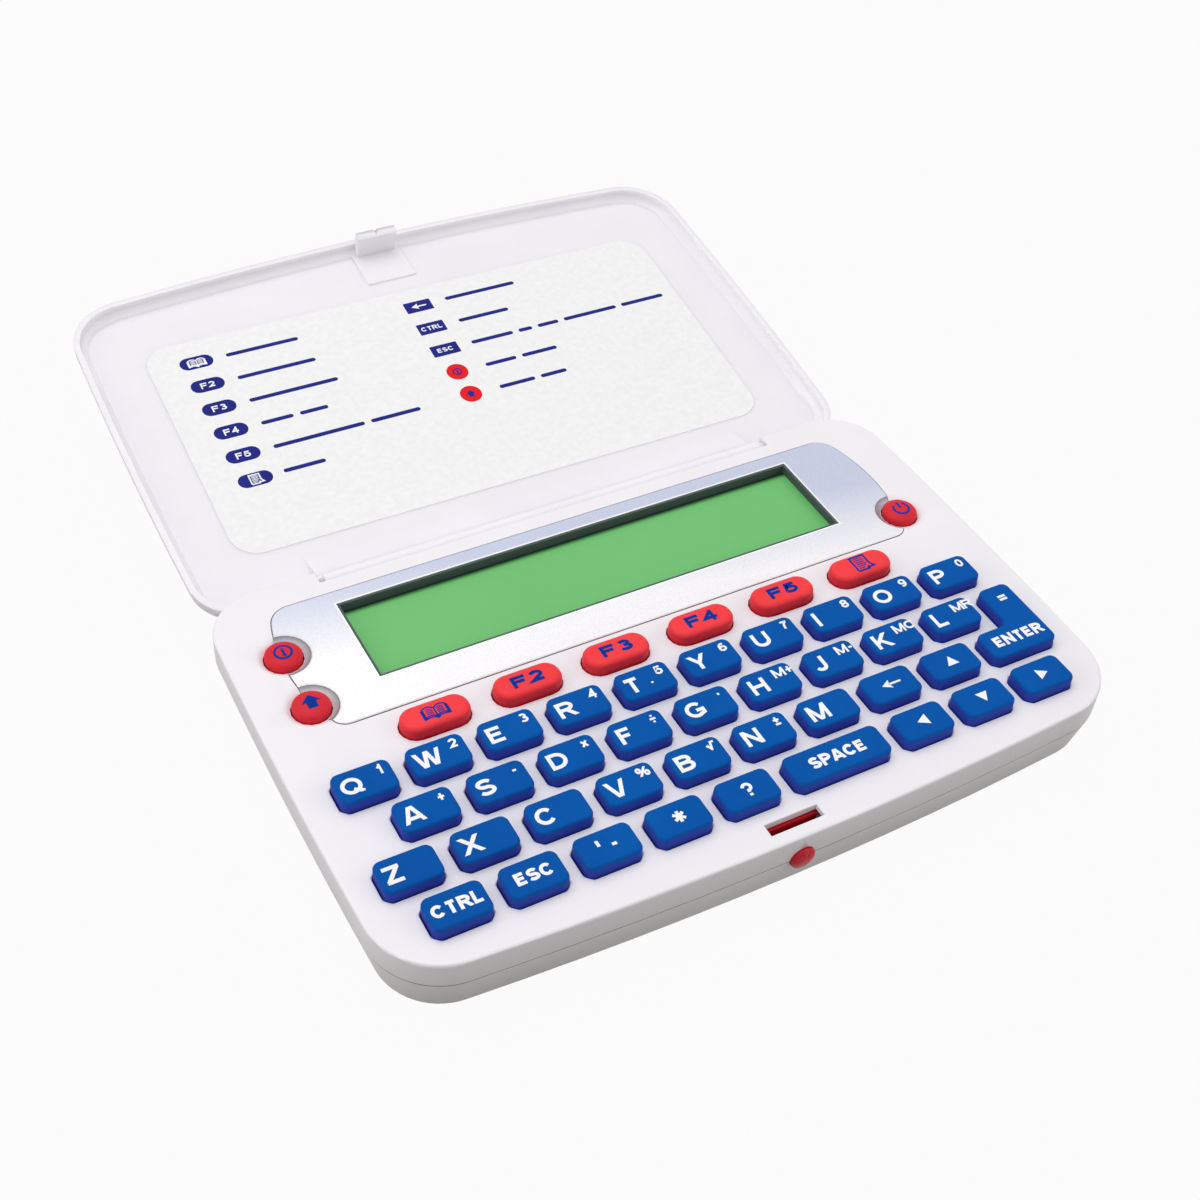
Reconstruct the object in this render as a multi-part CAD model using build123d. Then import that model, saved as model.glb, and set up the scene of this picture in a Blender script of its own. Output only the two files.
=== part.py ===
from build123d import *

import math
import os

# Electronic dictionary with a hinged lid, in millimetres.
# +X is to the right, +Y towards the hinge and +Z up. The origin is on the table,
# under the middle of the case. The lid is modelled shut and then swung open.

# ---- Case -------------------------------------------------------------------
case_width = 131.0
case_depth = 83.4
case_height = 12.0
parting_height = 7.0
front_bow = 2.86         # how far the front edge's arc falls back at the corners
side_bow = 0.8           # the same for the sides
front_corner = 12.0
rear_corner = 10.0
lower_lean = 1.6         # how far the bottom shell leans in at its foot
top_edge_round = 0.5
bottom_edge_round = 0.6
edge_bands = 3           # bands that round an outer edge
post_sides = 8           # flats round a boss, a screw or its bore
parting_chamfer = 0.2
wall = 1.6
plate = 1.6              # thickness of the top shell's plate
floor = 2.0

# ---- Keys -------------------------------------------------------------------
row_keys = 10            # caps in the first row
side_margin = 5.5        # from the case's sides to the first row's ten pitches
key_space = 2.6          # between neighbouring caps
row_space = 2.6          # between rows
depth_ratio = 9.5862     # the case's depth over the pitch of the rows
front_margin = 10.0      # from the case's front to the middle of the last row
first_row_shift = 1.2    # to the left of the case's middle
third_row_shift = 0.7    # to the left of the first row
fourth_row_shift = 2.8   # to the right of the first row
key_corner = 1.0         # cut off each corner of a key
pill_facets = 4          # the same for the pill-shaped and round keys
key_rise = 2.2           # height of the caps over the case
key_bevel = 0.45
key_gap = 0.25           # between a cap and its opening
key_travel = 1.2
key_stop = 0.1           # left between a pressed key and the mat's sheet
flange_thickness = 0.8
flange_overhang = 0.6
flange_play = 0.05
space_gap = 2.8          # on each side of the space bar
enter_margin = 5.4       # from the case's side to the ENTER cap
enter_stem_drop = 0.3    # of the stem's end under the second row
pill_space = 4.4         # between neighbouring pills
pill_depth = 5.35
pill_row_drop = 0.4      # that the pills' row is nearer than a row pitch
round_key_radius = 3.1
round_key_rise = 0.9
round_key_margin = 9.45  # from the case's sides to the round keys
help_drop = 10.3         # from the bezel's rear edge
shift_rise = 5.9         # from the bezel's front edge
power_rise = 5.2
dish_radius = 4.75       # finger dishes round the round keys
dish_depth = 0.8
dish_slope = 1.4         # width of the dish's sloping ring
dish_sides = 24

# ---- Display ----------------------------------------------------------------
bezel_space = 5.0        # from the pills' middle line to the bezel
bezel_rear_margin = 5.9  # from the bezel to the case's rear
bezel_front_margin = 12.1    # from the case's sides to the bezel's front corners
bezel_back_margin = 11.3     # the same at its rear corners
bezel_side_margin = 8.8      # the same where it is widest
bezel_widest_shift = 0.75    # of its widest place, forward of its middle
bezel_front_corner = 2.5
bezel_rear_corner = 4.0
bezel_thickness = 0.9
bezel_rise = 0.15
bezel_gap = 0.15
bezel_bevel = 0.15
bezel_seat_gap = 0.05
view_front_margin = 7.45     # from the bezel's edges to the display's opening
view_rear_margin = 3.4
surround_wall = 0.4
surround_below_bezel = 0.1
surround_gap = 0.05
lcd_side_room = 19.5         # from the case's sides to the glass
lcd_side_border = 2.4        # of the glass, hidden at each side
lcd_end_border = 2.375       # the same at its front and rear
lcd_thickness = 1.8
lcd_below_bezel = 1.7
lcd_gap = 0.2
contact_strip_depth = 2.0

# ---- Inside -----------------------------------------------------------------
mat_thickness = 0.6
dome_width = 4.4         # foot of the rubber dome under each key
dome_depth = 3.2
dome_taper = 25.0        # degrees
dome_gap = 0.02
board_thickness = 1.2
board_inset = 4.0
board_front_margin = 7.5
board_rear_margin = 5.3
boss_clearance = 0.4
support_radius = 1.5
support_front_margin = 14.3  # from the case's front to the supports behind the latch
support_rear_margin = 11.7
support_side_margin = 13.5
support_reach = 22.0     # from the middle to the supports between

# ---- Screws -----------------------------------------------------------------
boss_radius = 1.9
screw_radius = 0.8
screw_play = 0.05
screw_hole_play = 0.15
screw_length = 7.6
screw_head_radius = 1.4
screw_head_height = 0.8
screw_head_recess = 0.4
screw_head_play = 0.1
front_screw_side = 20.5  # from the case's sides
front_screw_margin = 4.8
rear_screw_side = 6.5
rear_screw_margin = 7.7

# ---- Battery compartment ----------------------------------------------------
cell_radius = 10.0
cell_height = 3.2
cell_pitch = 21.5
cell_play = 0.1
cell_sides = 24
battery_margin = 27.7    # from the case's rear to the middle of the door
bay_play = 0.75          # round the pair of cells
bay_wall = 1.2
door_width = 52.0
door_depth = 24.0
door_thickness = 1.4
door_corner = 2.0
door_corner_facets = 3
door_gap = 0.15
door_screw_margin = 2.1  # from the door's end
door_screw_length = 3.6
door_head_height = 0.6
door_head_recess = 0.1

# ---- Lid and hinge ----------------------------------------------------------
hinge_margin = 1.4       # from the case's rear to the axis
hinge_z = 10.4
lid_opening = 172.0      # degrees from shut
lid_inset = 1.0          # inside the case's outline
lid_gap = 0.08           # between the shut lid's rim and the case
lid_rim = 1.1
lid_depth = 2.5
lid_plate = 1.3
lid_edge_round = 2.9
lid_cavity_round = 1.4
lid_rear_corner = 2.0
lid_rear_reach = 1.6     # from the axis to the lid's rear edge
tab_margin = 22.3        # from the case's sides to the tab's ends
tab_side_gap = 1.2
tab_foot = 1.2           # from the axis to the tab's pad
tab_pad = 3.5
tab_ramp_end = 9.5
tab_heel = 2.6
tab_rise = 1.76
barrel_radius = 1.25
barrel_gap = 0.15
barrel_neck = 0.88       # from the axis to where the tab's pad meets the barrel
hinge_pin_radius = 0.85
hinge_pin_play = 0.05
hinge_pin_depth = 2.0
hinge_block_reach = 5.3  # beyond the tab's ends
hinge_block_wall = 1.2
stop_gap = 0.12          # between the open lid's tab and the notch's sloping floor

# ---- Latch: set back from the case's front ------------------------------------
slot_half_width = 4.7
slot_setback = 2.3
slot_depth = 2.2
slot_plate = 1.0         # plate left over the latch
hook_half_width = 4.1
hook_setback = 2.6
hook_thickness = 1.2
hook_reach = 3.0         # below the shut lid's rim
barb_reach = 0.5
barb_height = 0.67
hook_groove = 0.6
hook_pad_half_width = 5.1
hook_pad_depth = 9.4
hook_pad_height = 0.35
button_radius = 2.1
button_gap = 0.1
button_rise = 0.9
button_dome = 5.0        # radius of the button's domed face
release_travel = 1.0
slider_half_width = 5.3
slider_setback = 2.2
slider_depth = 3.4
slider_bottom = 4.6
slider_top = 8.4
slider_wall = 0.8
slider_play = 0.15
catch_overlap = 0.2      # of the catch over the hook's barb
catch_height = 0.6
catch_gap = 0.1
guide_wall = 1.1
guide_depth = 3.1
spring_thickness = 0.25
spring_height = 1.4
spring_half_length = 6.0
spring_bow = 1.45
spring_play = 0.05
spring_rib_setback = 7.3
spring_rib_depth = 1.0
spring_rib_half = 7.0

# ---- Derived places ----------------------------------------------------------
front_y = -case_depth / 2
rear_y = case_depth / 2
side_x = case_width / 2
key_pitch = (case_width - 2 * side_margin) / row_keys
key_width = key_pitch - key_space
row_pitch = case_depth / depth_ratio
key_depth = row_pitch - row_space
fourth_row_y = front_y + front_margin
third_row_y = fourth_row_y + row_pitch
second_row_y = third_row_y + row_pitch
first_row_y = second_row_y + row_pitch
first_row_x = -(row_keys - 1) / 2 * key_pitch - first_row_shift
second_row_x = first_row_x + key_pitch / 2
third_row_x = first_row_x - third_row_shift
fourth_row_x = first_row_x + fourth_row_shift
question_x = fourth_row_x + 4 * key_pitch
arrows_x = third_row_x + 7 * key_pitch
space_x = (question_x + arrows_x) / 2
space_width = arrows_x - question_x - key_width - 2 * space_gap
enter_right = side_x - enter_margin
enter_width = enter_right - (third_row_x + 8.5 * key_pitch + key_space / 2)
enter_stem_width = enter_right - (second_row_x + 8.5 * key_pitch + key_space / 2)
enter_stem_length = row_pitch - enter_stem_drop
pill_pitch = key_pitch * 4 / 3
pill_width = pill_pitch - pill_space
pill_y = first_row_y + row_pitch - pill_row_drop
bezel_front = pill_y + bezel_space
bezel_rear = rear_y - bezel_rear_margin
bezel_front_half = side_x - bezel_front_margin
bezel_rear_half = side_x - bezel_back_margin
bezel_widest_half = side_x - bezel_side_margin
bezel_widest_y = (bezel_front + bezel_rear) / 2 - bezel_widest_shift
help_place = (round_key_margin - side_x, bezel_rear - help_drop)
shift_place = (round_key_margin - side_x, bezel_front + shift_rise)
power_place = (side_x - round_key_margin, bezel_front + power_rise)
view_front = bezel_front + view_front_margin
view_depth = bezel_rear - view_rear_margin - view_front
view_y = view_front + view_depth / 2
lcd_width = case_width - 2 * lcd_side_room
lcd_depth = view_depth + 2 * lcd_end_border
view_half_width = lcd_width / 2 - lcd_side_border
board_front = front_y + board_front_margin
board_rear = rear_y - board_rear_margin
front_screw_place = (side_x - front_screw_side, front_y + front_screw_margin)
rear_screw_place = (side_x - rear_screw_side, rear_y - rear_screw_margin)
battery_y = rear_y - battery_margin
bay_width = cell_pitch + 2 * cell_radius + 2 * bay_play
bay_depth = 2 * cell_radius + 2 * bay_play
door_screw_x = door_width / 2 - door_screw_margin
hinge_y = rear_y - hinge_margin
tab_half_width = side_x - tab_margin
hinge_block_end = tab_half_width + hinge_block_reach
slot_front = front_y + slot_setback
slot_rear = slot_front + slot_depth
hook_front = front_y + hook_setback
hook_pad_rear = hook_front + hook_pad_depth
slider_front = front_y + slider_setback
slider_rear = slider_front + slider_depth
guide_rear = slider_front + guide_depth
spring_rib_front = front_y + spring_rib_setback

# ---- Derived levels ---------------------------------------------------------
plate_bottom = case_height - plate
key_top = case_height + key_rise
flange_top = plate_bottom - flange_play
flange_bottom = flange_top - flange_thickness
bezel_top = case_height + bezel_rise
bezel_bottom = bezel_top - bezel_thickness
seat_bottom = bezel_bottom - bezel_seat_gap
lcd_top = bezel_top - lcd_below_bezel
lcd_bottom = lcd_top - lcd_thickness
mat_top = flange_bottom - key_travel - key_stop
board_top = mat_top - mat_thickness
board_bottom = board_top - board_thickness
slot_pocket_top = case_height - slot_plate
slot_pocket_half = slot_half_width + wall
slot_pocket_rear = slider_rear + release_travel + slider_play
rim_z = case_height + lid_gap
cavity_z = rim_z + lid_depth
lid_top = cavity_z + lid_plate
lid_rear = hinge_y - lid_rear_reach
notch_half_width = tab_half_width + tab_side_gap
notch_front = hinge_y - barrel_radius - barrel_gap
hook_rear = hook_front + hook_thickness
hook_tip = rim_z - hook_reach
catch_bottom = hook_tip + barb_height + catch_gap
catch_front = hook_rear + barb_reach - catch_overlap
cell_bottom = floor + cell_play
bay_top = cell_bottom + cell_height


# ---- Helpers ----------------------------------------------------------------
def slab(sketch, low, high):
    """A flat outline raised between two levels."""
    return extrude(Pos(0, 0, low) * sketch, high - low)


def block(x0, x1, y0, y1, z0, z1):
    """A box between two corners."""
    middle = Pos((x0 + x1) / 2, (y0 + y1) / 2, (z0 + z1) / 2)
    return middle * Box(x1 - x0, y1 - y0, z1 - z0)


def post(place, radius, low, high, sides=post_sides):
    """An upright round post or bore, made of flats."""
    return slab(Pos(*place) * RegularPolygon(radius, sides), low, high)


def edge_round(radius):
    """Rise and setback of each band of a rounded edge, from the wall to the flat."""
    turns = [math.radians(90 * band / edge_bands) for band in range(edge_bands + 1)]
    return [(radius * math.sin(turn), radius * (1 - math.cos(turn))) for turn in turns]


def stack(outline, levels):
    """A solid through one outline at several levels, each moved in by its own inset."""
    return loft([Pos(0, 0, z) * outline(inset) for z, inset in levels], ruled=True)


def both_sides(place):
    """A place and its mirror image in the YZ plane."""
    return [(-place[0], place[1]), place]


def case_outline(inset):
    """Plan outline of the case, moved inwards."""
    half = case_width / 2
    corner_x = half - side_bow
    corner_y = front_y + front_bow
    face = make_face([
        ThreePointArc((-corner_x, corner_y), (0, front_y), (corner_x, corner_y)),
        ThreePointArc((corner_x, corner_y), (half, 0), (corner_x, rear_y)),
        Line((corner_x, rear_y), (-corner_x, rear_y)),
        ThreePointArc((-corner_x, rear_y), (-half, 0), (-corner_x, corner_y)),
    ])
    face = fillet([v for v in face.vertices() if v.Y < 0], front_corner)
    face = fillet([v for v in face.vertices() if v.Y > rear_y - wall], rear_corner)
    return offset(face, -inset) if inset > 0 else face


# ---- Key outlines -----------------------------------------------------------
def cap(x, y, width=key_width):
    """A rectangular cap: kind, middle, width and depth."""
    return ("cap", x, y, width, key_depth)


def key_table():
    """Every key by name."""
    keys = {}
    for index, letter in enumerate("qwertyuiop"):
        keys["key_" + letter] = cap(first_row_x + index * key_pitch, first_row_y)
    for index, letter in enumerate("asdfghjkl"):
        keys["key_" + letter] = cap(second_row_x + index * key_pitch, second_row_y)
    third = ["z", "x", "c", "v", "b", "n", "m", "backspace", "up"]
    for index, name in enumerate(third):
        keys["key_" + name] = cap(third_row_x + index * key_pitch, third_row_y)
    for index, name in enumerate(["ctrl", "esc", "apostrophe", "star", "question"]):
        keys["key_" + name] = cap(fourth_row_x + index * key_pitch, fourth_row_y)
    keys["key_space"] = cap(space_x, fourth_row_y, space_width)
    for index, name in enumerate(["left", "down", "right"]):
        keys["key_" + name] = cap(arrows_x + index * key_pitch, fourth_row_y)
    for index in range(-3, 3):
        pill_x = (index + 0.5) * pill_pitch
        keys["key_function_%d" % (index + 4)] = ("pill", pill_x, pill_y, pill_width, pill_depth)
    size = 2 * round_key_radius
    keys["key_help"] = ("round", *help_place, size, size)
    keys["key_shift"] = ("round", *shift_place, size, size)
    keys["key_power"] = ("round", *power_place, size, size)
    enter_x = enter_right - enter_width / 2
    keys["key_enter"] = ("enter", enter_x, third_row_y, enter_width, key_depth)
    return keys


def faceted(width, depth, radius, facets):
    """A rectangle whose corners are rounded by short flats."""
    points = []
    for quarter in range(4):
        side_x = 1 if quarter in (0, 3) else -1
        side_y = 1 if quarter in (0, 1) else -1
        for step in range(facets + 1):
            turn = math.radians(90 * (quarter + step / facets))
            x = side_x * (width / 2 - radius) + radius * math.cos(turn)
            y = side_y * (depth / 2 - radius) + radius * math.sin(turn)
            points.append((round(x, 6), round(y, 6)))
    return make_face(Polyline(*dict.fromkeys(points), close=True))


def key_outline(key, grow=0.0):
    """Plan outline of a key, moved outwards."""
    kind, x, y, width, depth = key
    wide = width + 2 * grow
    deep = depth + 2 * grow
    if kind in ("pill", "round"):
        return Pos(x, y) * faceted(wide, deep, deep / 2, pill_facets)
    corner = key_corner + grow * (2 - math.sqrt(2))
    outline = faceted(wide, deep, corner, 1)
    if kind == "enter":
        stem = faceted(enter_stem_width + 2 * grow, deep + enter_stem_length, corner, 1)
        outline += Pos((width - enter_stem_width) / 2, enter_stem_length / 2) * stem
    return Pos(x, y) * outline


def key_openings(low, high):
    """The cuts for every cap."""
    return [slab(key_outline(key, key_gap), low, high) for key in key_table().values()]


def finger_dish(place):
    """A shallow hollow round a round key."""
    low = case_height - dish_depth
    high = bezel_top + bezel_gap
    reach = dish_slope * (high - low) / (bezel_top - low)
    foot = dish_radius - dish_slope
    rings = [Pos(*place, low) * RegularPolygon(foot, dish_sides),
             Pos(*place, high) * RegularPolygon(foot + reach, dish_sides)]
    return loft(rings, ruled=True)


def finger_dishes():
    """The hollows of the three round keys."""
    return [finger_dish(place) for place in (help_place, shift_place, power_place)]


# ---- Keys -------------------------------------------------------------------
def key_flange(key):
    """The ledge that keeps a key under the plate."""
    kind, x, y, width, depth = key
    reach = depth if kind != "round" else depth / 2
    flange = Pos(x, y) * Rectangle(width + 2 * flange_overhang, reach)
    if kind == "enter":
        stem_x = x + width / 2 - enter_stem_width / 2
        stem_y = y + enter_stem_length / 2
        stem_width = enter_stem_width + 2 * flange_overhang
        flange += Pos(stem_x, stem_y) * Rectangle(stem_width, depth + enter_stem_length)
    return slab(flange, flange_bottom, flange_top)


def make_key(key):
    """A cap with a bevelled top and its flange."""
    kind = key[0]
    top = case_height + round_key_rise if kind == "round" else key_top
    body = slab(key_outline(key), flange_bottom, top)
    body = chamfer(body.faces().sort_by(Axis.Z)[-1].edges(), key_bevel)
    return body + key_flange(key)


# ---- Case shells ------------------------------------------------------------
def button_hole():
    """The round hole for the release button."""
    length = 3 * wall
    turn = Pos(0, front_y, parting_height) * Rot(90, 0, 0)
    return turn * Cylinder(button_radius + button_gap, 2 * length)


def screw_places():
    """Where the four case screws go."""
    return both_sides(front_screw_place) + both_sides(rear_screw_place)


def hinge_blocks():
    """The solid bar at the rear that carries the lid's hinge."""
    front = notch_front - hinge_block_wall
    bar = block(-hinge_block_end, hinge_block_end, front, rear_y - wall,
                parting_height, case_height - top_edge_round)
    return bar


def stop_level(y):
    """Level of the notch's sloping floor, just off the open lid's flank."""
    turn = math.radians(180 - lid_opening) - flank_angle()
    reach = barrel_radius + stop_gap
    return hinge_z + (reach - math.cos(turn) * (y - hinge_y)) / math.sin(turn)


def hinge_notch():
    """The gap for the lid's tab, with the sloping floor it rests against."""
    beyond = rear_y + wall
    high = case_height + wall
    profile = Polyline((notch_front, high), (beyond, high), (beyond, stop_level(beyond)),
                       (notch_front, stop_level(notch_front)), close=True)
    face = make_face(Plane.YZ * profile)
    return Pos(-notch_half_width, 0, 0) * extrude(face, 2 * notch_half_width, dir=(1, 0, 0))


def hinge_pins(radius, length):
    """Stub pins, or their bores, out of both ends of the tab."""
    reach = tab_half_width + tab_side_gap + length
    turn = Pos(0, hinge_y, hinge_z) * Rot(0, 90, 0)
    return turn * Cylinder(radius, 2 * reach)


def latch_openings():
    """The hook's slot and the thinned plate under it."""
    slot = block(-slot_half_width, slot_half_width, slot_front, slot_rear,
                 plate_bottom, case_height + wall)
    pocket = block(-slot_pocket_half, slot_pocket_half, slider_front - slider_play,
                   slot_pocket_rear, plate_bottom - wall, slot_pocket_top)
    return slot + pocket


def make_top_case():
    """Upper shell: openings for keys and display, hinge bar, screw bosses."""
    levels = [(parting_height, parting_chamfer), (parting_height + parting_chamfer, 0)]
    levels += [(case_height - top_edge_round + rise, back)
               for rise, back in edge_round(top_edge_round)]
    body = stack(case_outline, levels)
    body -= slab(case_outline(wall), parting_height, plate_bottom)
    body += hinge_blocks()
    for place in screw_places():
        body += post(place, boss_radius, parting_height, plate_bottom)
    bores = [post(place, screw_radius + screw_play, parting_height, plate_bottom)
             for place in screw_places()]
    seat = slab(bezel_outline(-bezel_gap), seat_bottom, case_height + wall)
    window = Pos(0, view_y) * Rectangle(lcd_width + 2 * lcd_gap, lcd_depth + 2 * lcd_gap)
    cuts = key_openings(plate_bottom, case_height + wall) + finger_dishes() + bores
    cuts += [seat, slab(window, plate_bottom, seat_bottom), button_hole(), latch_openings()]
    cuts += [hinge_notch(), hinge_pins(hinge_pin_radius + hinge_pin_play, hinge_pin_depth + wall)]
    return body - cuts


def battery_cuts():
    """The door's seat and the opening over the cells."""
    seat = Pos(0, battery_y) * faceted(door_width + 2 * door_gap, door_depth + 2 * door_gap,
                                       door_corner + door_gap, door_corner_facets)
    bay = Pos(-door_bay_shift(), battery_y) * Rectangle(bay_width, bay_depth)
    return [slab(seat, 0, door_thickness + door_gap), slab(bay, 0, floor)]


def door_bay_shift():
    """How far the cells sit to the left of the door's middle, clear of its screw."""
    return (door_width - bay_width) / 2 - bay_wall


def battery_walls():
    """The wall round the cells."""
    outer = Rectangle(bay_width + 2 * bay_wall, bay_depth + 2 * bay_wall)
    ring = Pos(-door_bay_shift(), battery_y) * (outer - Rectangle(bay_width, bay_depth))
    return slab(ring, floor - door_gap, bay_top)


def latch_guides():
    """The shelf and cheeks the release slider runs in, and the spring's stop."""
    inner = slider_half_width + slider_play
    outer = inner + guide_wall
    front = slider_front + lower_lean / 2
    base = floor - door_gap
    parts = block(-outer, outer, front, guide_rear, base, slider_bottom - slider_play)
    for side in (-1, 1):
        x0, x1 = sorted((side * inner, side * outer))
        parts += block(x0, x1, slider_front + slider_play, guide_rear, base, slider_top)
    rear = spring_rib_front + spring_rib_depth
    rib_top = slider_bottom + spring_height
    return parts + block(-spring_rib_half, spring_rib_half, spring_rib_front, rear, base, rib_top)


def lower_inset(level):
    """How far the bottom shell's leaning wall stands in at a level."""
    return lower_lean * (1 - level / parting_height)


def make_bottom_case():
    """Lower shell: leaning walls, screw bosses, battery bay and latch guides."""
    levels = [(parting_height, parting_chamfer),
              (parting_height - parting_chamfer, lower_inset(parting_height - parting_chamfer))]
    levels += [(bottom_edge_round - drop, lower_inset(bottom_edge_round - drop) + back)
               for drop, back in edge_round(bottom_edge_round)]
    body = stack(case_outline, levels)
    hollow = [(floor, wall + lower_inset(floor)), (parting_height, wall)]
    body -= stack(case_outline, hollow)
    boss_top = parting_height - screw_play
    head_room = screw_head_recess + screw_head_height
    for place in screw_places():
        body += post(place, boss_radius, floor - door_gap, boss_top)
    for place in board_supports():
        body += post(place, support_radius, floor - door_gap, board_bottom - flange_play)
    body += battery_walls() + latch_guides()
    body += post((door_screw_x, battery_y), boss_radius, floor - door_gap, bay_top)
    cuts = battery_cuts() + [button_hole()]
    for place in screw_places():
        cuts.append(post(place, screw_head_radius + screw_head_play, 0, head_room))
        cuts.append(post(place, screw_radius + screw_hole_play, 0, parting_height))
    cuts.append(post((door_screw_x, battery_y), screw_radius + screw_play, 0, bay_top))
    return body - cuts


def board_supports():
    """Where the board rests on the bottom shell."""
    front = front_y + support_front_margin
    rear = rear_y - support_rear_margin
    outer = both_sides((side_x - support_side_margin, rear))
    return both_sides((support_reach, front)) + [(0, front)] + outer


# ---- Display ----------------------------------------------------------------
def bezel_outline(inset):
    """Plan outline of the display bezel, with bowed sides, moved inwards."""
    front_left = (-bezel_front_half, bezel_front)
    front_right = (bezel_front_half, bezel_front)
    rear_left = (-bezel_rear_half, bezel_rear)
    rear_right = (bezel_rear_half, bezel_rear)
    face = make_face([
        Line(front_left, front_right),
        ThreePointArc(front_right, (bezel_widest_half, bezel_widest_y), rear_right),
        Line(rear_right, rear_left),
        ThreePointArc(rear_left, (-bezel_widest_half, bezel_widest_y), front_left),
    ])
    front = [v for v in face.vertices() if v.Y < view_y]
    face = fillet(front, bezel_front_corner)
    rear = [v for v in face.vertices() if v.Y > bezel_rear - bezel_gap]
    face = fillet(rear, bezel_rear_corner)
    return offset(face, -inset) if inset else face


def view_rectangle(grow):
    """The display's opening, moved outwards."""
    return Pos(0, view_y) * Rectangle(2 * (view_half_width + grow), view_depth + 2 * grow)


def make_bezel():
    """Thin moulded plate round the display, cut by the finger dishes."""
    levels = [(bezel_bottom, 0), (bezel_top - bezel_bevel, 0), (bezel_top, bezel_bevel)]
    body = stack(bezel_outline, levels)
    cuts = [slab(view_rectangle(surround_wall + surround_gap), bezel_bottom, bezel_top)]
    for name in ("key_help", "key_shift", "key_power"):
        cuts.append(slab(key_outline(key_table()[name], key_gap), bezel_bottom, bezel_top))
    return body - cuts - finger_dishes()


def make_surround():
    """Dark frame between the glass and the bezel."""
    rim = view_rectangle(surround_wall) - view_rectangle(0)
    flange = Pos(0, view_y) * Rectangle(lcd_width, lcd_depth) - view_rectangle(0)
    top = bezel_top - surround_below_bezel
    return slab(rim, lcd_top, top) + slab(flange, lcd_top, seat_bottom)


def make_lcd():
    """Glass panel with its two contact strips down to the board."""
    panel = slab(Pos(0, view_y) * Rectangle(lcd_width, lcd_depth), lcd_bottom, lcd_top)
    reach = (lcd_depth - contact_strip_depth) / 2
    strip = Rectangle(2 * view_half_width, contact_strip_depth)
    for y in (view_y - reach, view_y + reach):
        panel += slab(Pos(0, y) * strip, board_top, lcd_bottom)
    return panel


# ---- Inside -----------------------------------------------------------------
def inner_sheet(front, rear, low, high):
    """A sheet following the case inside, clear of the screw bosses."""
    half = case_width / 2
    sheet = slab(case_outline(board_inset), low, high)
    sheet &= block(-half, half, front, rear, low, high)
    for place in screw_places():
        sheet -= post(place, boss_radius + boss_clearance, low, high)
    return sheet


def make_board():
    """Circuit board under the keys and the display."""
    return inner_sheet(board_front, board_rear, board_bottom, board_top)


def rubber_dome(key):
    """The tapered dome that holds up one key."""
    foot = Pos(key[1], key[2], mat_top) * Rectangle(dome_width, dome_depth)
    return extrude(foot, flange_bottom - dome_gap - mat_top, taper=dome_taper)


def make_mat():
    """Rubber sheet round the display, with a dome under every key."""
    mat = inner_sheet(board_front, board_rear, board_top, mat_top)
    half = lcd_width / 2 + lcd_gap
    front = view_y - lcd_depth / 2 - lcd_gap
    mat -= block(-half, half, front, rear_y, board_top, mat_top)
    return mat + [rubber_dome(key) for key in key_table().values()]


def make_cells():
    """Two coin cells side by side."""
    places = both_sides((cell_pitch / 2, battery_y))
    shift = Pos(-door_bay_shift(), 0, 0)
    return [shift * post(place, cell_radius, cell_bottom, bay_top - cell_play, cell_sides)
            for place in places]


def make_door():
    """Battery door, flush with the floor, held by one screw."""
    outline = Pos(0, battery_y) * faceted(door_width, door_depth, door_corner, door_corner_facets)
    door = slab(outline, 0, door_thickness)
    place = (door_screw_x, battery_y)
    seat = door_head_recess + door_head_height
    door -= post(place, screw_head_radius + screw_head_play, 0, seat)
    return door - post(place, screw_radius + screw_hole_play, 0, door_thickness)


def screw(place, head_bottom, head_height, length):
    """A flat-headed screw, pointing up."""
    shank_start = head_bottom + head_height
    head = post(place, screw_head_radius, head_bottom, shank_start)
    return head + post(place, screw_radius, shank_start, shank_start + length)


def make_case_screws():
    """The four screws through the bottom shell and the door's own screw."""
    screws = [screw(place, screw_head_recess, screw_head_height, screw_length)
              for place in screw_places()]
    door = screw((door_screw_x, battery_y), door_head_recess, door_head_height, door_screw_length)
    return screws + [door]


# ---- Latch ------------------------------------------------------------------
def make_release_button():
    """Round button and the slider with the catch behind it."""
    turn = Pos(0, (slider_front + front_y - button_rise) / 2, parting_height) * Rot(90, 0, 0)
    reach = slider_front - front_y + button_rise
    button = turn * Cylinder(button_radius, reach)
    dome = Pos(0, front_y - button_rise + button_dome, parting_height) * Sphere(button_dome)
    behind = block(-button_dome, button_dome, front_y, slider_front, 0, case_height)
    button &= dome + behind
    half = slider_half_width
    body = block(-half, half, slider_front, slider_rear, slider_bottom, slider_top)
    catch_top = catch_bottom + catch_height
    riser_front = slider_rear - slider_wall
    body += block(-half, half, riser_front, slider_rear, slider_bottom, catch_top)
    body += block(-half, half, catch_front, slider_rear, catch_bottom, catch_top)
    return body + button


def make_release_spring():
    """Bowed leaf spring that pushes the slider forward."""
    ends = spring_rib_front - spring_play
    crown = ends - spring_bow
    half = spring_half_length
    outer = ThreePointArc((-half, ends - spring_thickness), (0, crown),
                          (half, ends - spring_thickness))
    inner = ThreePointArc((half, ends), (0, crown + spring_thickness), (-half, ends))
    left = Line((-half, ends), (-half, ends - spring_thickness))
    right = Line((half, ends - spring_thickness), (half, ends))
    leaf = make_face([outer, right, inner, left])
    return slab(leaf, slider_bottom, slider_bottom + spring_height)


# ---- Lid --------------------------------------------------------------------
def lid_outline(inset):
    """Plan outline of the shut lid, cut straight in front of the hinge."""
    face = case_outline(lid_inset + inset)
    keep = Pos(0, lid_rear - inset - case_depth) * Rectangle(2 * case_width, 2 * case_depth)
    face = face & keep
    rear = [v for v in face.vertices() if v.Y > lid_rear - inset - lid_gap]
    return fillet(rear, lid_rear_corner)


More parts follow.
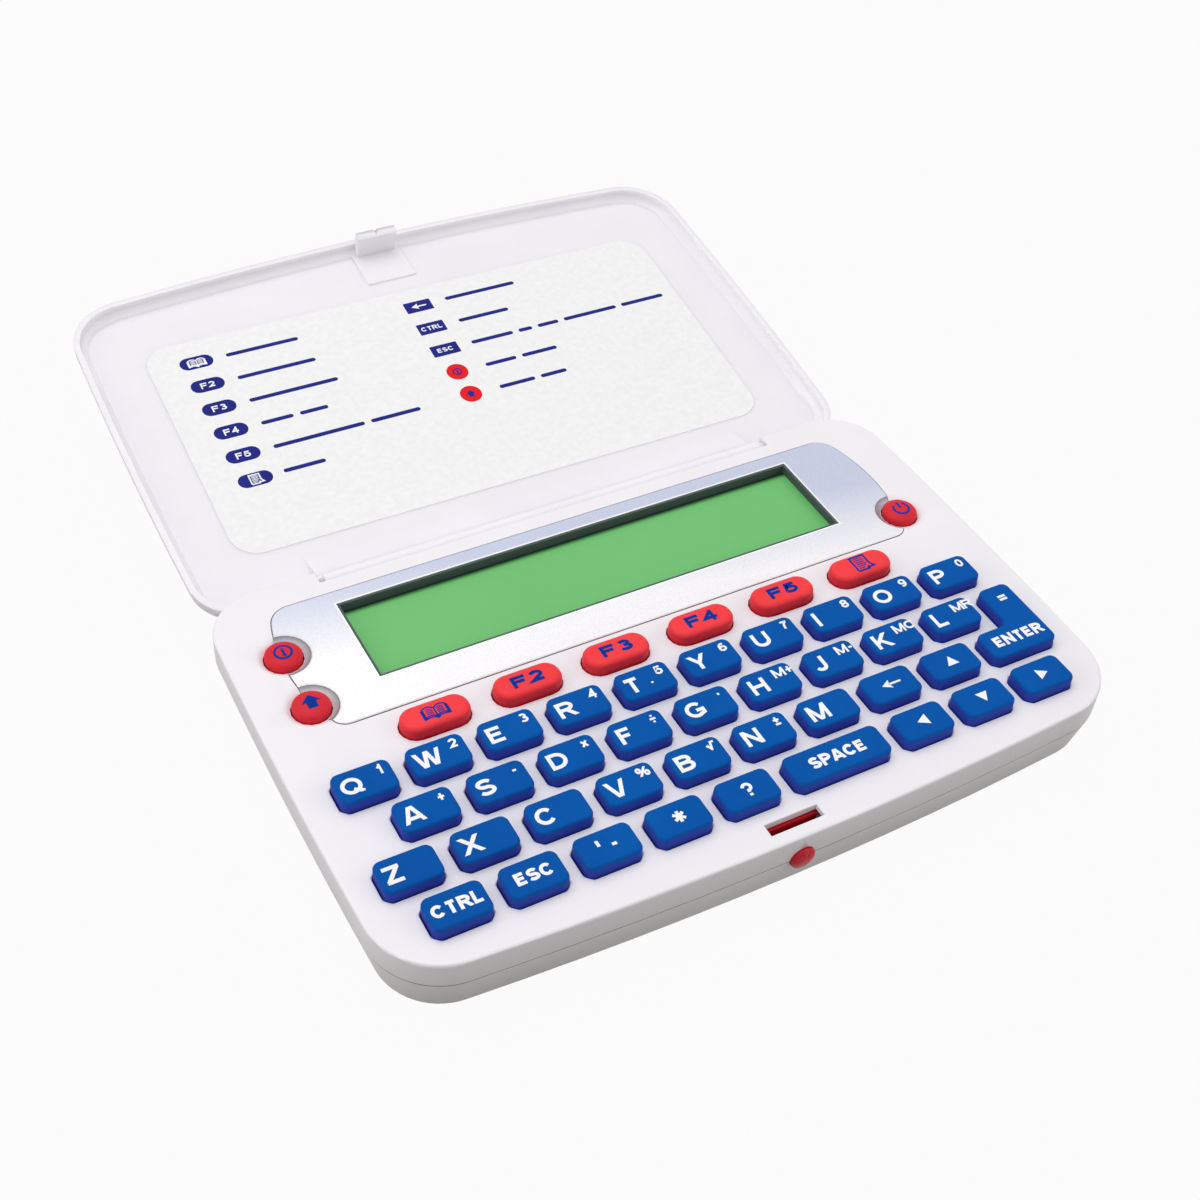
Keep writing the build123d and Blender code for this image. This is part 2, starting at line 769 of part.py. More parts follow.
def lid_shell():
    """The lid's plate and rim."""
    levels = [(rim_z, 0)]
    levels += [(lid_top - lid_edge_round + rise, back)
               for rise, back in edge_round(lid_edge_round)]
    hollow = [(rim_z, lid_rim), (cavity_z - lid_cavity_round, lid_rim),
              (cavity_z, lid_rim + lid_cavity_round)]
    return stack(lid_outline, levels) - stack(lid_outline, hollow)


def flank_angle():
    """Direction, from the axis, in which the tab's flank leaves the barrel."""
    rise = lid_top - hinge_z
    return math.atan2(rise, tab_heel) + math.acos(barrel_radius / math.hypot(rise, tab_heel))


def lid_tab():
    """The wedge along the rear edge that ends in the hinge barrel."""
    pad = hinge_z + tab_rise
    lean = flank_angle()
    outline = Polyline(
        (hinge_y - barrel_radius * math.cos(lean), hinge_z + barrel_radius * math.sin(lean)),
        (hinge_y - tab_heel, lid_top),
        (hinge_y - tab_ramp_end, lid_top),
        (hinge_y - tab_ramp_end, cavity_z),
        (hinge_y - tab_pad, pad),
        (hinge_y - tab_foot, pad),
        (hinge_y - barrel_neck, hinge_z + barrel_neck),
        (hinge_y, hinge_z),
        close=True,
    )
    face = make_face(Plane.YZ * outline)
    wedge = extrude(face, 2 * tab_half_width, dir=(1, 0, 0))
    turn = Pos(0, hinge_y, hinge_z) * Rot(0, 90, 0)
    barrel = turn * Cylinder(barrel_radius, 2 * tab_half_width)
    return Pos(-tab_half_width, 0, 0) * wedge + barrel


def lid_hook():
    """The hook at the lid's front edge and the low pad behind it."""
    half = hook_half_width
    barb_top = hook_tip + barb_height
    barb = hook_rear + barb_reach
    profile = Polyline(
        (hook_front, cavity_z),
        (hook_front, hook_tip),
        (hook_rear, hook_tip),
        (barb, hook_tip + barb_height / 2),
        (barb, barb_top),
        (hook_rear, barb_top),
        (hook_rear, cavity_z),
        close=True,
    )
    hook = Pos(-half, 0, 0) * extrude(make_face(Plane.YZ * profile), 2 * half, dir=(1, 0, 0))
    groove = Pos(0, hook_rear, hook_tip) * Rot(0, 45, 0) * Box(hook_groove, 2 * wall, hook_groove)
    pad = block(-hook_pad_half_width, hook_pad_half_width, hook_front, hook_pad_rear,
                cavity_z - hook_pad_height, cavity_z)
    return hook - groove + pad


def make_lid():
    """The lid with its tab, stub pins and hook, swung open."""
    shut = lid_shell() + lid_tab() + lid_hook()
    shut += hinge_pins(hinge_pin_radius, hinge_pin_depth)
    hinge = Pos(0, hinge_y, hinge_z)
    return hinge * Rot(-lid_opening, 0, 0) * hinge.inverse() * shut


# ---- Files ------------------------------------------------------------------
def whole(shape):
    """A list of separate solids as one compound."""
    return Compound(children=shape) if isinstance(shape, list) else shape


def all_parts():
    """Every node by name."""
    parts = {name: make_key(key) for name, key in key_table().items()}
    parts["top_case"] = make_top_case()
    parts["bottom_case"] = make_bottom_case()
    parts["display_bezel"] = make_bezel()
    parts["display_surround"] = make_surround()
    parts["lcd_panel"] = make_lcd()
    parts["circuit_board"] = make_board()
    parts["keypad_mat"] = make_mat()
    parts["coin_cells"] = make_cells()
    parts["battery_door"] = make_door()
    parts["case_screws"] = make_case_screws()
    parts["release_button"] = make_release_button()
    parts["release_spring"] = make_release_spring()
    parts["lid"] = make_lid()
    return parts


os.makedirs("parts", exist_ok=True)
for name, shape in all_parts().items():
    export_step(whole(shape), "parts/" + name + ".step")
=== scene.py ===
import logging
import math
from dataclasses import dataclass, field
from enum import Enum
from typing import Callable, Iterable, Sequence

import bmesh
import bpy
from mathutils import Matrix, Vector


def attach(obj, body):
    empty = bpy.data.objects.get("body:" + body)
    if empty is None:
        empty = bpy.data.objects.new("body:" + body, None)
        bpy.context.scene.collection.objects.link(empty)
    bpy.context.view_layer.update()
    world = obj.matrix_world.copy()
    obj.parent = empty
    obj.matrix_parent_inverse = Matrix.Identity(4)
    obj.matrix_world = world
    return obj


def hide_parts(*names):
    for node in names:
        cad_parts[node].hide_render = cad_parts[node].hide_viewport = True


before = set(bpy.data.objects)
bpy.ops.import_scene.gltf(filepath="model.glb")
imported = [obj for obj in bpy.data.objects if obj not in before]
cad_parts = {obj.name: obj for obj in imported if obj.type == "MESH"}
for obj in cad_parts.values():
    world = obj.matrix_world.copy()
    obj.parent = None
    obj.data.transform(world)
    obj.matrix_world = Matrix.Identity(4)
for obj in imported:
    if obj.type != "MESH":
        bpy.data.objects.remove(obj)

MM = 0.001
LOG = logging.getLogger("dictionary")

Point = tuple[float, float]
Place = tuple[float, float, float]
Colour = tuple[float, float, float]
Piece = bpy.types.Object
Socket = bpy.types.NodeSocket
Edge = bmesh.types.BMEdge
Face = bmesh.types.BMFace


# ---- Workbench: the few moves that every piece is made with ------------------


def deselect() -> None:
    """Lets go of every object, the frame's nodes among them."""
    bpy.ops.object.select_all(action="DESELECT")


def take(obj: Piece) -> None:
    """Selects one object only and makes it the active one."""
    deselect()
    obj.select_set(True)
    bpy.context.view_layer.objects.active = obj


def edit(obj: Piece, whole: bool = False) -> None:
    """Opens an object for editing with nothing in it selected, or the whole of it."""
    take(obj)
    bpy.ops.object.mode_set(mode="EDIT")
    bpy.ops.mesh.select_all(action="SELECT" if whole else "DESELECT")


def leave() -> None:
    """Closes the object that is being edited."""
    bpy.ops.object.mode_set(mode="OBJECT")


def leave_outwards() -> None:
    """Turns every face of the object that is being edited outwards and closes it."""
    bpy.ops.mesh.select_all(action="SELECT")
    bpy.ops.mesh.normals_make_consistent(inside=False)
    leave()


def pick(kind: str, obj: Piece, wanted: Callable[[Edge | Face], bool]) -> int:
    """Selects edges or faces of the object that is being edited.

    Args:
        kind: EDGE or FACE.
        obj: The object.
        wanted: Says whether an edge or a face is one of those to work on.

    Returns:
        How many are selected.
    """
    mesh = bmesh.from_edit_mesh(obj.data)
    bpy.ops.mesh.select_mode(type=kind)
    bpy.ops.mesh.select_all(action="DESELECT")
    found = [part for part in (mesh.edges if kind == "EDGE" else mesh.faces) if wanted(part)]
    for part in found:
        part.select_set(True)
    bmesh.update_edit_mesh(obj.data)
    return len(found)


def extrude(x: float, y: float, z: float) -> None:
    """Draws what is selected out by a way in millimetres."""
    bpy.ops.mesh.extrude_region_move(TRANSFORM_OT_translate={"value": (x * MM, y * MM, z * MM)})


def cut(place: Place, normal: Place, away: bool = False, fill: bool = False) -> None:
    """Cuts the object that is being edited along a plane.

    Args:
        place: A point of the plane in millimetres.
        normal: Its normal.
        away: Whether what lies beyond it goes.
        fill: Whether the cut is closed.
    """
    bpy.ops.mesh.select_all(action="SELECT")
    bpy.ops.mesh.bisect(plane_co=[along * MM for along in place], plane_no=normal, clear_outer=away, use_fill=fill)


def soften(obj: Piece, wanted: Callable[[Edge], bool], width: float, segments: int = 2) -> None:
    """Bevels some edges of an object.

    Args:
        obj: The object.
        wanted: Says whether an edge is beveled.
        width: The bevel's width in millimetres.
        segments: Faces across the bevel.
    """
    edit(obj)
    if pick("EDGE", obj, wanted):
        bpy.ops.mesh.bevel(offset=width * MM, segments=segments, profile=0.5, clamp_overlap=False)
    leave()


def smooth(obj: Piece, angle: float = 32.0, weighted: bool = True) -> None:
    """Shades a piece smooth up to an angle, with the large faces kept flat.

    Args:
        obj: The piece.
        angle: Edges sharper than this, in degrees, stay sharp.
        weighted: Whether large faces decide the shading of their rims.
    """
    take(obj)
    bpy.ops.object.shade_smooth_by_angle(angle=math.radians(angle))
    if weighted:
        even = obj.modifiers.new("even", "WEIGHTED_NORMAL")
        even.keep_sharp = True
        even.weight = 100
        bpy.ops.object.modifier_apply(modifier=even.name)


def new_piece(name: str) -> Piece:
    """Names the shape just added and leaves its place in its mesh."""
    made = bpy.context.active_object
    made.name = name
    bpy.ops.object.transform_apply(location=True, rotation=True, scale=True)
    return made


def block(name: str, low: Sequence[float], high: Sequence[float]) -> Piece:
    """Adds a cube at the size and place that its two corners give.

    Args:
        name: The piece's name.
        low: Its lowest corner, in millimetres.
        high: Its highest corner, in millimetres.

    Returns:
        The new object.
    """
    middle = [(a + b) / 2 * MM for a, b in zip(low, high)]
    size = [(b - a) * MM for a, b in zip(low, high)]
    deselect()
    bpy.ops.mesh.primitive_cube_add(size=1, location=middle, scale=size)
    return new_piece(name)


def join(name: str, parts: Iterable[Piece]) -> Piece:
    """Joins several objects into one.

    Args:
        name: The joined piece's name.
        parts: The objects, of which there is at least one.

    Returns:
        The joined object.
    """
    several = list(parts)
    take(several[0])
    for part in several:
        part.select_set(True)
    bpy.ops.object.join()
    several[0].name = name
    return several[0]


def merged_copy(node: str, name: str) -> Piece:
    """Copies a node of the frame and merges its loose triangles into faces.

    Args:
        node: The node's name.
        name: The copy's name.

    Returns:
        The copy, which rides on nothing yet.
    """
    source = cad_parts[node]
    made = source.copy()
    made.data = source.data.copy()
    made.name = name
    made.parent = None
    for key in list(made.keys()):
        del made[key]
    made.data.materials.clear()
    bpy.context.scene.collection.objects.link(made)
    edit(made, whole=True)
    bpy.ops.mesh.remove_doubles(threshold=0.002 * MM)
    bpy.ops.mesh.dissolve_limited(angle_limit=math.radians(0.4))
    leave()
    return made


def is_level(edge: Edge, height: float) -> bool:
    """Says whether both ends of an edge are at a height in millimetres."""
    return all(abs(end.co.z / MM - height) < 0.01 for end in edge.verts)


def is_upright(edge: Edge) -> bool:
    """Says whether an edge runs straight up."""
    run = edge.verts[0].co - edge.verts[1].co
    return abs(run.x) < 1e-7 and abs(run.y) < 1e-7


def between(edge: Edge, low: float, high: float) -> bool:
    """Says whether an edge parts a face that looks up from one that doesn't."""
    rises = sorted(face.normal.z for face in edge.link_faces)
    return len(rises) == 2 and rises[0] < low and rises[1] > high


# ---- Finishes ---------------------------------------------------------------


def linear(colour: Colour) -> tuple[float, float, float, float]:
    """Turns a screen's colour of 0 to 255 into the shader's own numbers, with an alpha of 1."""
    channels = [c / 255 for c in colour]
    red, green, blue = (c / 12.92 if c < 0.04045 else ((c + 0.055) / 1.055) ** 2.4 for c in channels)
    return red, green, blue, 1.0


@dataclass
class Mixer:
    """The nodes of one material or of the world, each added and fed in one call."""

    tree: bpy.types.NodeTree

    def feed(self, node: bpy.types.Node, inputs: dict) -> None:
        """Feeds a node.

        Args:
            node: The node.
            inputs: For each input its number or colour, or the socket that it comes from.
        """
        for key, value in inputs.items():
            if isinstance(value, Socket):
                self.tree.links.new(value, node.inputs[key])
            else:
                node.inputs[key].default_value = value

    def add(self, kind: str, inputs: dict | None = None, **settings: str) -> Socket:
        """Adds a node and feeds it.

        Args:
            kind: Its kind.
            inputs: What its inputs get.
            settings: Its own settings.

        Returns:
            Its first output.
        """
        node = self.tree.nodes.new("ShaderNode" + kind)
        for name, value in settings.items():
            setattr(node, name, value)
        self.feed(node, inputs or {})
        return node.outputs[0]

    def place(self) -> Socket:
        """Gives the place on the piece."""
        return self.add("TexCoord").node.outputs["Object"]

    def axes(self) -> bpy.types.NodeOutputs:
        """Gives the place's three coordinates, by name."""
        return self.add("SeparateXYZ", {0: self.place()}).node.outputs

    def noise(self, scale: float, detail: float) -> Socket:
        """Gives a noise over the piece."""
        return self.add("TexNoise", {"Vector": self.place(), "Scale": scale, "Detail": detail})

    def math(self, operation: str, *values: float | Socket) -> Socket:
        """Works something out from numbers and sockets."""
        return self.add("Math", dict(enumerate(values)), operation=operation)

    def span(self, value: Socket, reach: Point, to: Point = (0.0, 1.0), easing: str = "LINEAR") -> Socket:
        """Carries a value over from one range to another.

        Args:
            value: The value.
            reach: The two ends of its range.
            to: What they become.
            easing: How it goes from one end to the other.

        Returns:
            The new value.
        """
        return self.add("MapRange", {"Value": value, "From Min": reach[0], "From Max": reach[1],
                                     "To Min": to[0], "To Max": to[1]}, interpolation_type=easing)

    def blend(self, share: float | Socket, under: Colour | Socket, over: Colour | Socket, way: str = "MIX") -> Socket:
        """Lays one colour over another.

        Args:
            share: How much of it.
            under: The colour below.
            over: The colour above.
            way: How the two are mixed.

        Returns:
            The mixed colour.
        """
        under, over = (tone if isinstance(tone, Socket) else linear(tone) for tone in (under, over))
        return self.add("MixRGB", {"Fac": share, "Color1": under, "Color2": over}, blend_type=way)


@dataclass(frozen=True)
class Moulded:
    """A moulded or painted surface with a fine texture, faint clouding and uneven gloss."""

    name: str
    colour: Colour
    second: Colour
    roughness: float = 0.42
    uneven: float = 0.08
    grain: float = 2600.0
    relief: float = 0.06
    cloud: float = 60.0
    specular: float = 0.5
    coat: float = 0.0
    coat_roughness: float = 0.15
    metallic: float = 0.0
    through: float = 0.0
    scatter: float = 1.5
    grain_depth: float = 0.02

    def material(self) -> bpy.types.Material:
        """Builds the finish once and gives it again when it is asked for later."""
        known = bpy.data.materials.get(self.name)
        if known:
            return known
        made = bpy.data.materials.new(self.name)
        made.use_nodes = True
        mixer = Mixer(made.node_tree)
        clouds = mixer.noise(self.cloud, 4.0)
        tones = mixer.add("ValToRGB", {"Fac": clouds})
        for stop, place, tone in zip(tones.node.color_ramp.elements, (0.35, 0.65), (self.second, self.colour)):
            stop.position, stop.color = place, linear(tone)
        mixer.feed(made.node_tree.nodes["Principled BSDF"], {
            "Base Color": self.tint(mixer, tones),
            "Roughness": mixer.span(clouds, (0.0, 1.0), (self.roughness - self.uneven, self.roughness + self.uneven)),
            "Normal": mixer.add("Bump", {"Strength": self.relief, "Distance": self.grain_depth * MM,
                                         "Height": mixer.noise(self.grain, 2.0)}),
            "Specular IOR Level": self.specular,
            "Coat Weight": self.coat,
            "Coat Roughness": self.coat_roughness,
            "Metallic": self.metallic,
            "Subsurface Weight": self.through,
            "Subsurface Scale": self.scatter * MM,
            "Subsurface Radius": (1.0, 1.0, 1.0),
        })
        return made

    def tint(self, mixer: Mixer, colour: Socket) -> Socket:
        """Changes the colour over the piece; a plain finish leaves it as it is.

        Args:
            mixer: The material's nodes.
            colour: The clouded colour.

        Returns:
            The colour to use.
        """
        return colour

    def dress(self, obj: Piece) -> Piece:
        """Gives the finish to a piece in place of any other, and gives the piece back."""
        obj.data.materials.clear()
        obj.data.materials.append(self.material())
        return obj


@dataclass(frozen=True)
class Band:
    """Another tone that comes in along one axis, from nothing at its start to the whole at its end."""

    tone: Colour
    axis: str
    start: float
    end: float
    easing: str = "LINEAR"


@dataclass(frozen=True)
class Banded(Moulded):
    """A moulded surface that takes on other tones towards its edges."""

    bands: tuple[Band, ...] = ()

    def tint(self, mixer: Mixer, colour: Socket) -> Socket:
        """Mixes the bands in, one over another."""
        axes = mixer.axes()
        for band in self.bands:
            share = mixer.span(axes[band.axis], (band.start * MM, band.end * MM), easing=band.easing)
            colour = mixer.blend(share, colour, band.tone)
        return colour


@dataclass(frozen=True)
class SeamedShellWithFootShade(Banded):
    """The case's plastic, with painted shade that deepens towards the foot and a dark line where the shells meet."""

    # Painted shade: the walls darken towards the foot.
    bands: tuple[Band, ...] = (Band((206, 204, 202), "Z", 11.4, 0.5),)
    seam: Colour = (104, 100, 97)
    seam_level: float = 7.0
    seam_half: float = 0.11

    def tint(self, mixer: Mixer, colour: Socket) -> Socket:
        """Draws the line at the level of the seam over the bands."""
        line = mixer.math("COMPARE", mixer.axes()["Z"], self.seam_level * MM, self.seam_half * MM)
        return mixer.blend(line, super().tint(mixer, colour), self.seam)


@dataclass(frozen=True)
class BezelPaint(Moulded):
    """Silver paint with fine flakes, with a painted reflection that pales towards the keys, painted shade in the
    finger dishes and a painted highlight along the window's edge.
    """

    pale: Colour = (243, 243, 245)
    deep: Colour = (196, 203, 224)
    dish_shade: Colour = (104, 106, 114)
    flake: float = 5200.0
    start: float = 14.0
    end: float = 31.0
    skew: float = 0.16
    rim: float = 11.98
    hollow: float = 11.2
    window: Place = (44.05, 23.775, 9.075)
    lit_edge: Colour = (252, 253, 255)
    lit_reach: Point = (0.36, 0.14)

    def from_window(self, mixer: Mixer, axes: bpy.types.NodeOutputs) -> Socket:
        """Works out how close a place is to the window's edge, for the painted highlight along it.

        Args:
            mixer: The material's nodes.
            axes: The place's three coordinates.

        Returns:
            A share that is 1 at the edge and has faded to 0 a third of a millimetre away.
        """
        half, middle, tall = self.window
        ways = []
        for axis, centre, reach in (("X", 0.0, half), ("Y", middle, tall)):
            off = mixer.math("ABSOLUTE", mixer.math("SUBTRACT", axes[axis], centre * MM))
            ways.append(mixer.math("SUBTRACT", off, reach * MM))
        far, near = self.lit_reach
        return mixer.span(mixer.math("MAXIMUM", *ways), (far * MM, near * MM), easing="SMOOTHSTEP")

    def tint(self, mixer: Mixer, colour: Socket) -> Socket:
        """Lays a painted reflection across the bezel, painted shade in the dishes, the flakes, and a painted
        highlight along the window's edge.
        """
        axes = mixer.axes()
        along = mixer.math("MULTIPLY_ADD", axes["X"], self.skew, axes["Y"])
        # Painted reflection: the paint pales towards the keys and deepens to a blue-grey towards the far edge and the
        # right.
        sheen = mixer.blend(mixer.span(along, (self.start * MM, self.end * MM)), self.pale, self.deep)
        # Painted shade: the finger dishes darken below the bezel's top.
        depth = mixer.span(axes["Z"], (self.rim * MM, self.hollow * MM), (0.95, 0.1))
        below = mixer.math("LESS_THAN", axes["Z"], self.rim * MM)
        dish_shaded = mixer.blend(mixer.math("MULTIPLY", depth, below), sheen, self.dish_shade)
        glint = mixer.span(mixer.noise(self.flake, 1.0), (0.3, 0.7), (0.90, 1.06))
        strewn = mixer.blend(1.0, dish_shaded, glint, "MULTIPLY")
        # Painted highlight: a near-white line along the window's edge.
        return mixer.blend(self.from_window(mixer, axes), strewn, self.lit_edge)


CASE_WHITE = SeamedShellWithFootShade("case_white_abs", (242, 240, 244), (239, 237, 241), roughness=0.45)
LID_WHITE = Moulded("lid_white_abs", (240, 239, 244), (237, 236, 241), roughness=0.42, through=0.6)
SILVER = BezelPaint("bezel_silver_paint", (206, 213, 228), (200, 207, 223), roughness=0.38, metallic=0.2,
                    grain=5200.0, relief=0.12, coat=0.1)
# Painted shade with a violet cast: the caps' rounded edges and sides darken below the top.
KEY_BLUE = Banded("key_blue_plastic", (0, 88, 172), (0, 82, 164), roughness=0.6, relief=0.08, specular=0.06,
                  bands=(Band((48, 66, 168), "Z", 14.05, 13.2),))
# Painted shade: the caps turn a darker red below the top; the low round caps take it all over.
KEY_RED = Banded("key_red_rubber", (248, 62, 68), (242, 56, 62), roughness=0.5, relief=0.08, specular=0.2,
                 bands=(Band((214, 34, 50), "Z", 14.05, 13.2),))
LATCH_RED = Moulded("latch_red_plastic", (206, 26, 46), (196, 22, 42), roughness=0.4, relief=0.05, specular=0.25)
SURROUND = Banded("surround_dark", (240, 242, 246), (236, 238, 243), roughness=0.45,
                  bands=(Band((34, 50, 50), "Z", 12.04, 12.0),))
# Painted shadow: the panel darkens towards its top and left edges under the surround's wall; a thin blue-grey line
# runs along its top edge.
LCD_GREEN = Banded("lcd_green", (112, 195, 115), (109, 192, 112), roughness=0.3, uneven=0.03, cloud=25.0,
                   relief=0.01, specular=0.25, bands=(
                       Band((8, 30, 14), "Y", 30.9, 32.25, "SMOOTHSTEP"),
                       Band((8, 30, 14), "X", -43.05, -43.6, "SMOOTHSTEP"),
                       Band((58, 74, 92), "Y", 32.2, 32.36, "SMOOTHSTEP")))
LABEL_FILM = Moulded("label_film", (243, 244, 244), (238, 239, 239), roughness=0.55, grain=2600.0, relief=0.3,
                     cloud=900.0)
PRINT_WHITE = Moulded("print_white", (248, 249, 253), (243, 245, 252), roughness=0.5)
PRINT_BLUE = Moulded("print_blue", (0, 58, 150), (0, 52, 142), roughness=0.6, specular=0.06)
PRINT_NAVY = Moulded("print_navy", (34, 40, 134), (30, 36, 124), roughness=0.6, specular=0.1)
PRINT_RED = Moulded("print_red", (234, 30, 38), (226, 26, 34), roughness=0.6, specular=0.1)
BOARD = Moulded("board_green", (30, 92, 58), (24, 80, 50), roughness=0.35, coat=0.4)
MAT_GREY = Moulded("mat_grey", (188, 190, 192), (176, 178, 181), roughness=0.6)
STEEL = Moulded("steel", (128, 129, 132), (112, 113, 116), roughness=0.35, metallic=1.0, relief=0.1)
CELL_STEEL = Moulded("cell_steel", (206, 206, 202), (192, 192, 190), roughness=0.22, metallic=1.0)


# ---- Print ------------------------------------------------------------------

# Each character has its width, with its height as 1, and the middle lines of its
# strokes, parted by bars. A stroke is a chain of points, and of arcs with centre,
# radii and angles after an @. A z closes it. What stands out above or below is cut off.
CHARACTERS: dict[str, tuple[float, str]] = {
    "A": (1.02, "-.04,-.19 .5,1.25 1.04,-.19|.16,.2 .84,.2"),
    "B": (0.90, "0,.53 0,1 @.5,.765,.42,.235,90,-90z|0,.53 0,0 @.55,.265,.45,.265,-90,90z"),
    "C": (0.98, "@.5,.5,.5,.5,38,322"),
    "D": (0.94, "0,0 0,1 @.42,.5,.58,.5,90,-90z"),
    "E": (0.84, "1,1 0,1 0,0 1.03,0|0,.52 .92,.52"),
    "F": (0.78, "0,-.2 0,1 1,1|0,.5 .88,.5"),
    "G": (1.04, "@.5,.5,.5,.5,42,306 .98,.16 .98,.43 .56,.43"),
    "H": (0.92, "0,-.2 0,1.2|1,-.2 1,1.2|0,.52 1,.52"),
    "I": (0.20, "0,-.2 0,1.2"),
    "J": (0.70, "1,1.2 1,.32 @.5,.28,.5,.28,0,-165"),
    "K": (0.98, "0,-.2 0,1.2|1,1.22 .02,.30|.34,.60 1.04,-.19"),
    "L": (0.80, "0,1.2 0,0 1,0"),
    "M": (1.10, "0,-.2 0,1.1 .5,-.12 1,1.1 1,-.2"),
    "N": (0.94, "0,-.2 0,1.1 1,-.1 1,1.2"),
    "O": (1.06, "@.5,.5,.5,.5,0,360z"),
    "P": (0.88, "0,-.2 0,1.2|0,1 @.52,.73,.48,.27,90,-90 0,.46"),
    "Q": (1.06, "@.5,.5,.5,.5,0,360z|.55,.22 1.08,-.12"),
    "R": (0.96, "0,-.2 0,1.2|0,1 @.5,.74,.42,.26,90,-90 0,.48|.48,.48 1.04,-.19"),
    "S": (0.90, "@.5,.75,.47,.25,25,270 @.5,.25,.5,.25,90,-155"),
    "T": (0.88, "0,1 1,1|.5,-.2 .5,1"),
    "U": (0.92, "0,1.2 0,.42 @.5,.40,.5,.40,180,360 1,1.2"),
    "V": (1.00, "-.04,1.19 .5,-.25 1.04,1.19"),
    "W": (1.34, "-.03,1.19 .26,-.24 .5,1.22 .74,-.24 1.03,1.19"),
    "X": (1.00, "-.07,-.2 1.07,1.2|-.07,1.2 1.07,-.2"),
    "Y": (0.98, "-.05,1.2 .5,.40 1.05,1.2|.5,.44 .5,-.2"),
    "Z": (0.88, "-.1,1 1.1,1|-.1,0 1.1,0|.94,.94 .06,.06"),
    "0": (0.68, "@.5,.5,.5,.5,0,360z"),
    "1": (0.44, "-.1,.66 .78,.99|.8,1.2 .8,-.2"),
    "2": (0.68, "@.48,.70,.48,.30,165,-42 .02,0 1.06,0"),
    "3": (0.68, "@.45,.76,.43,.24,150,-90 .36,.52|.36,.52 @.48,.26,.52,.26,90,-150"),
    "4": (0.72, ".74,-.2 .74,1.2|.74,1.05 0,.24 1.12,.24"),
    "5": (0.68, "1,1 .16,1 .06,.50 @.46,.32,.54,.32,125,-150"),
    "6": (0.70, "@.5,.30,.5,.30,0,360z|@.58,.50,.58,.50,60,180"),
    "7": (0.66, "0,1 1,1 @1,-.1,.66,.98,95,180"),
    "8": (0.70, "@.5,.77,.44,.23,0,360z|@.5,.27,.5,.27,0,360z"),
    "9": (0.70, "@.5,.70,.5,.30,0,360z|@.42,.50,.58,.50,-120,0"),
    "+": (0.70, "0,.47 1,.47|.5,.02 .5,.92"),
    "-": (0.50, "0,.40 1,.40"),
    "×": (0.70, ".08,.08 .92,.86|.08,.86 .92,.08"),
    "÷": (0.70, "0,.47 1,.47|.5,.80 .5,1.04|.5,-.10 .5,.14"),
    "•": (0.30, ".5,.42 .5,.70"),
    "%": (1.10, "@.16,.74,.17,.26,0,360z|@.84,.24,.17,.26,0,360z|.12,-.15 .88,1.15"),
    "√": (0.80, "-.1,.48 .14,.56 .40,.02 .74,1 1.2,1"),
    "±": (0.70, "0,.62 1,.62|.5,.25 .5,1.05|0,0 1,0"),
    "=": (0.84, "0,.74 1,.74|0,.22 1,.22"),
    "'": (0.26, ".3,1.2 .5,.60"),
    "*": (0.90, ".5,0 .5,1|.03,.22 .97,.78|.03,.78 .97,.22"),
    "?": (0.72, "@.48,.70,.48,.30,170,-50 .52,.40 .52,.24|.52,-.12 .52,.10"),
    ".": (0.22, ".5,-.12 .5,.12"),
    " ": (0.40, ""),
    "book": (1.50, ".5,.76 .38,.92 .2,.98 0,.88 0,.12 .2,.22 .38,.16 .5,.02z|"
                   ".5,.76 .62,.92 .8,.98 1,.88 1,.12 .8,.22 .62,.16 .5,.02z|"
                   "-.07,.80 -.07,-.02 .2,.06 .38,.02 .5,-.14 .62,.02 .8,.06 1.07,-.02 1.07,.80"),
    "book text": (1.50, ".12,.72 .26,.78 .41,.70|.12,.59 .26,.65 .41,.57|.12,.46 .26,.52 .41,.44|"
                        ".12,.33 .26,.39 .41,.31|.88,.72 .74,.78 .59,.70|.88,.59 .74,.65 .59,.57|"
                        ".88,.46 .74,.52 .59,.44|.88,.33 .74,.39 .59,.31"),
    "page": (0.86, "0,0 0,1 1,1 1,.34|0,0 .82,0|.66,.06 1.20,.10 1.0,.34|.80,.20 .84,.08"),
    "page text": (0.86, ".18,.84 .78,.84|.18,.71 .84,.71|.18,.58 .76,.58|.18,.45 .84,.45|"
                        ".18,.32 .72,.32|.18,.18 .56,.18"),
    "info": (1.00, "@.5,.5,.5,.5,0,360z|.42,.58 .52,.58 .50,.24|.40,.22 .62,.22|.52,.70 .52,.80"),
    "power": (1.00, "@.5,.46,.5,.5,128,412|.5,.52 .5,1.06"),
}


class Sign(Enum):
    """The signs that aren't letters."""

    LEFT = "left"
    RIGHT = "right"
    UP = "up"
    DOWN = "down"
    BACK = "back"
    BOOK = "book"
    PAGE = "page"
    INFO = "info"
    HOUSE = "house"
    POWER = "power"


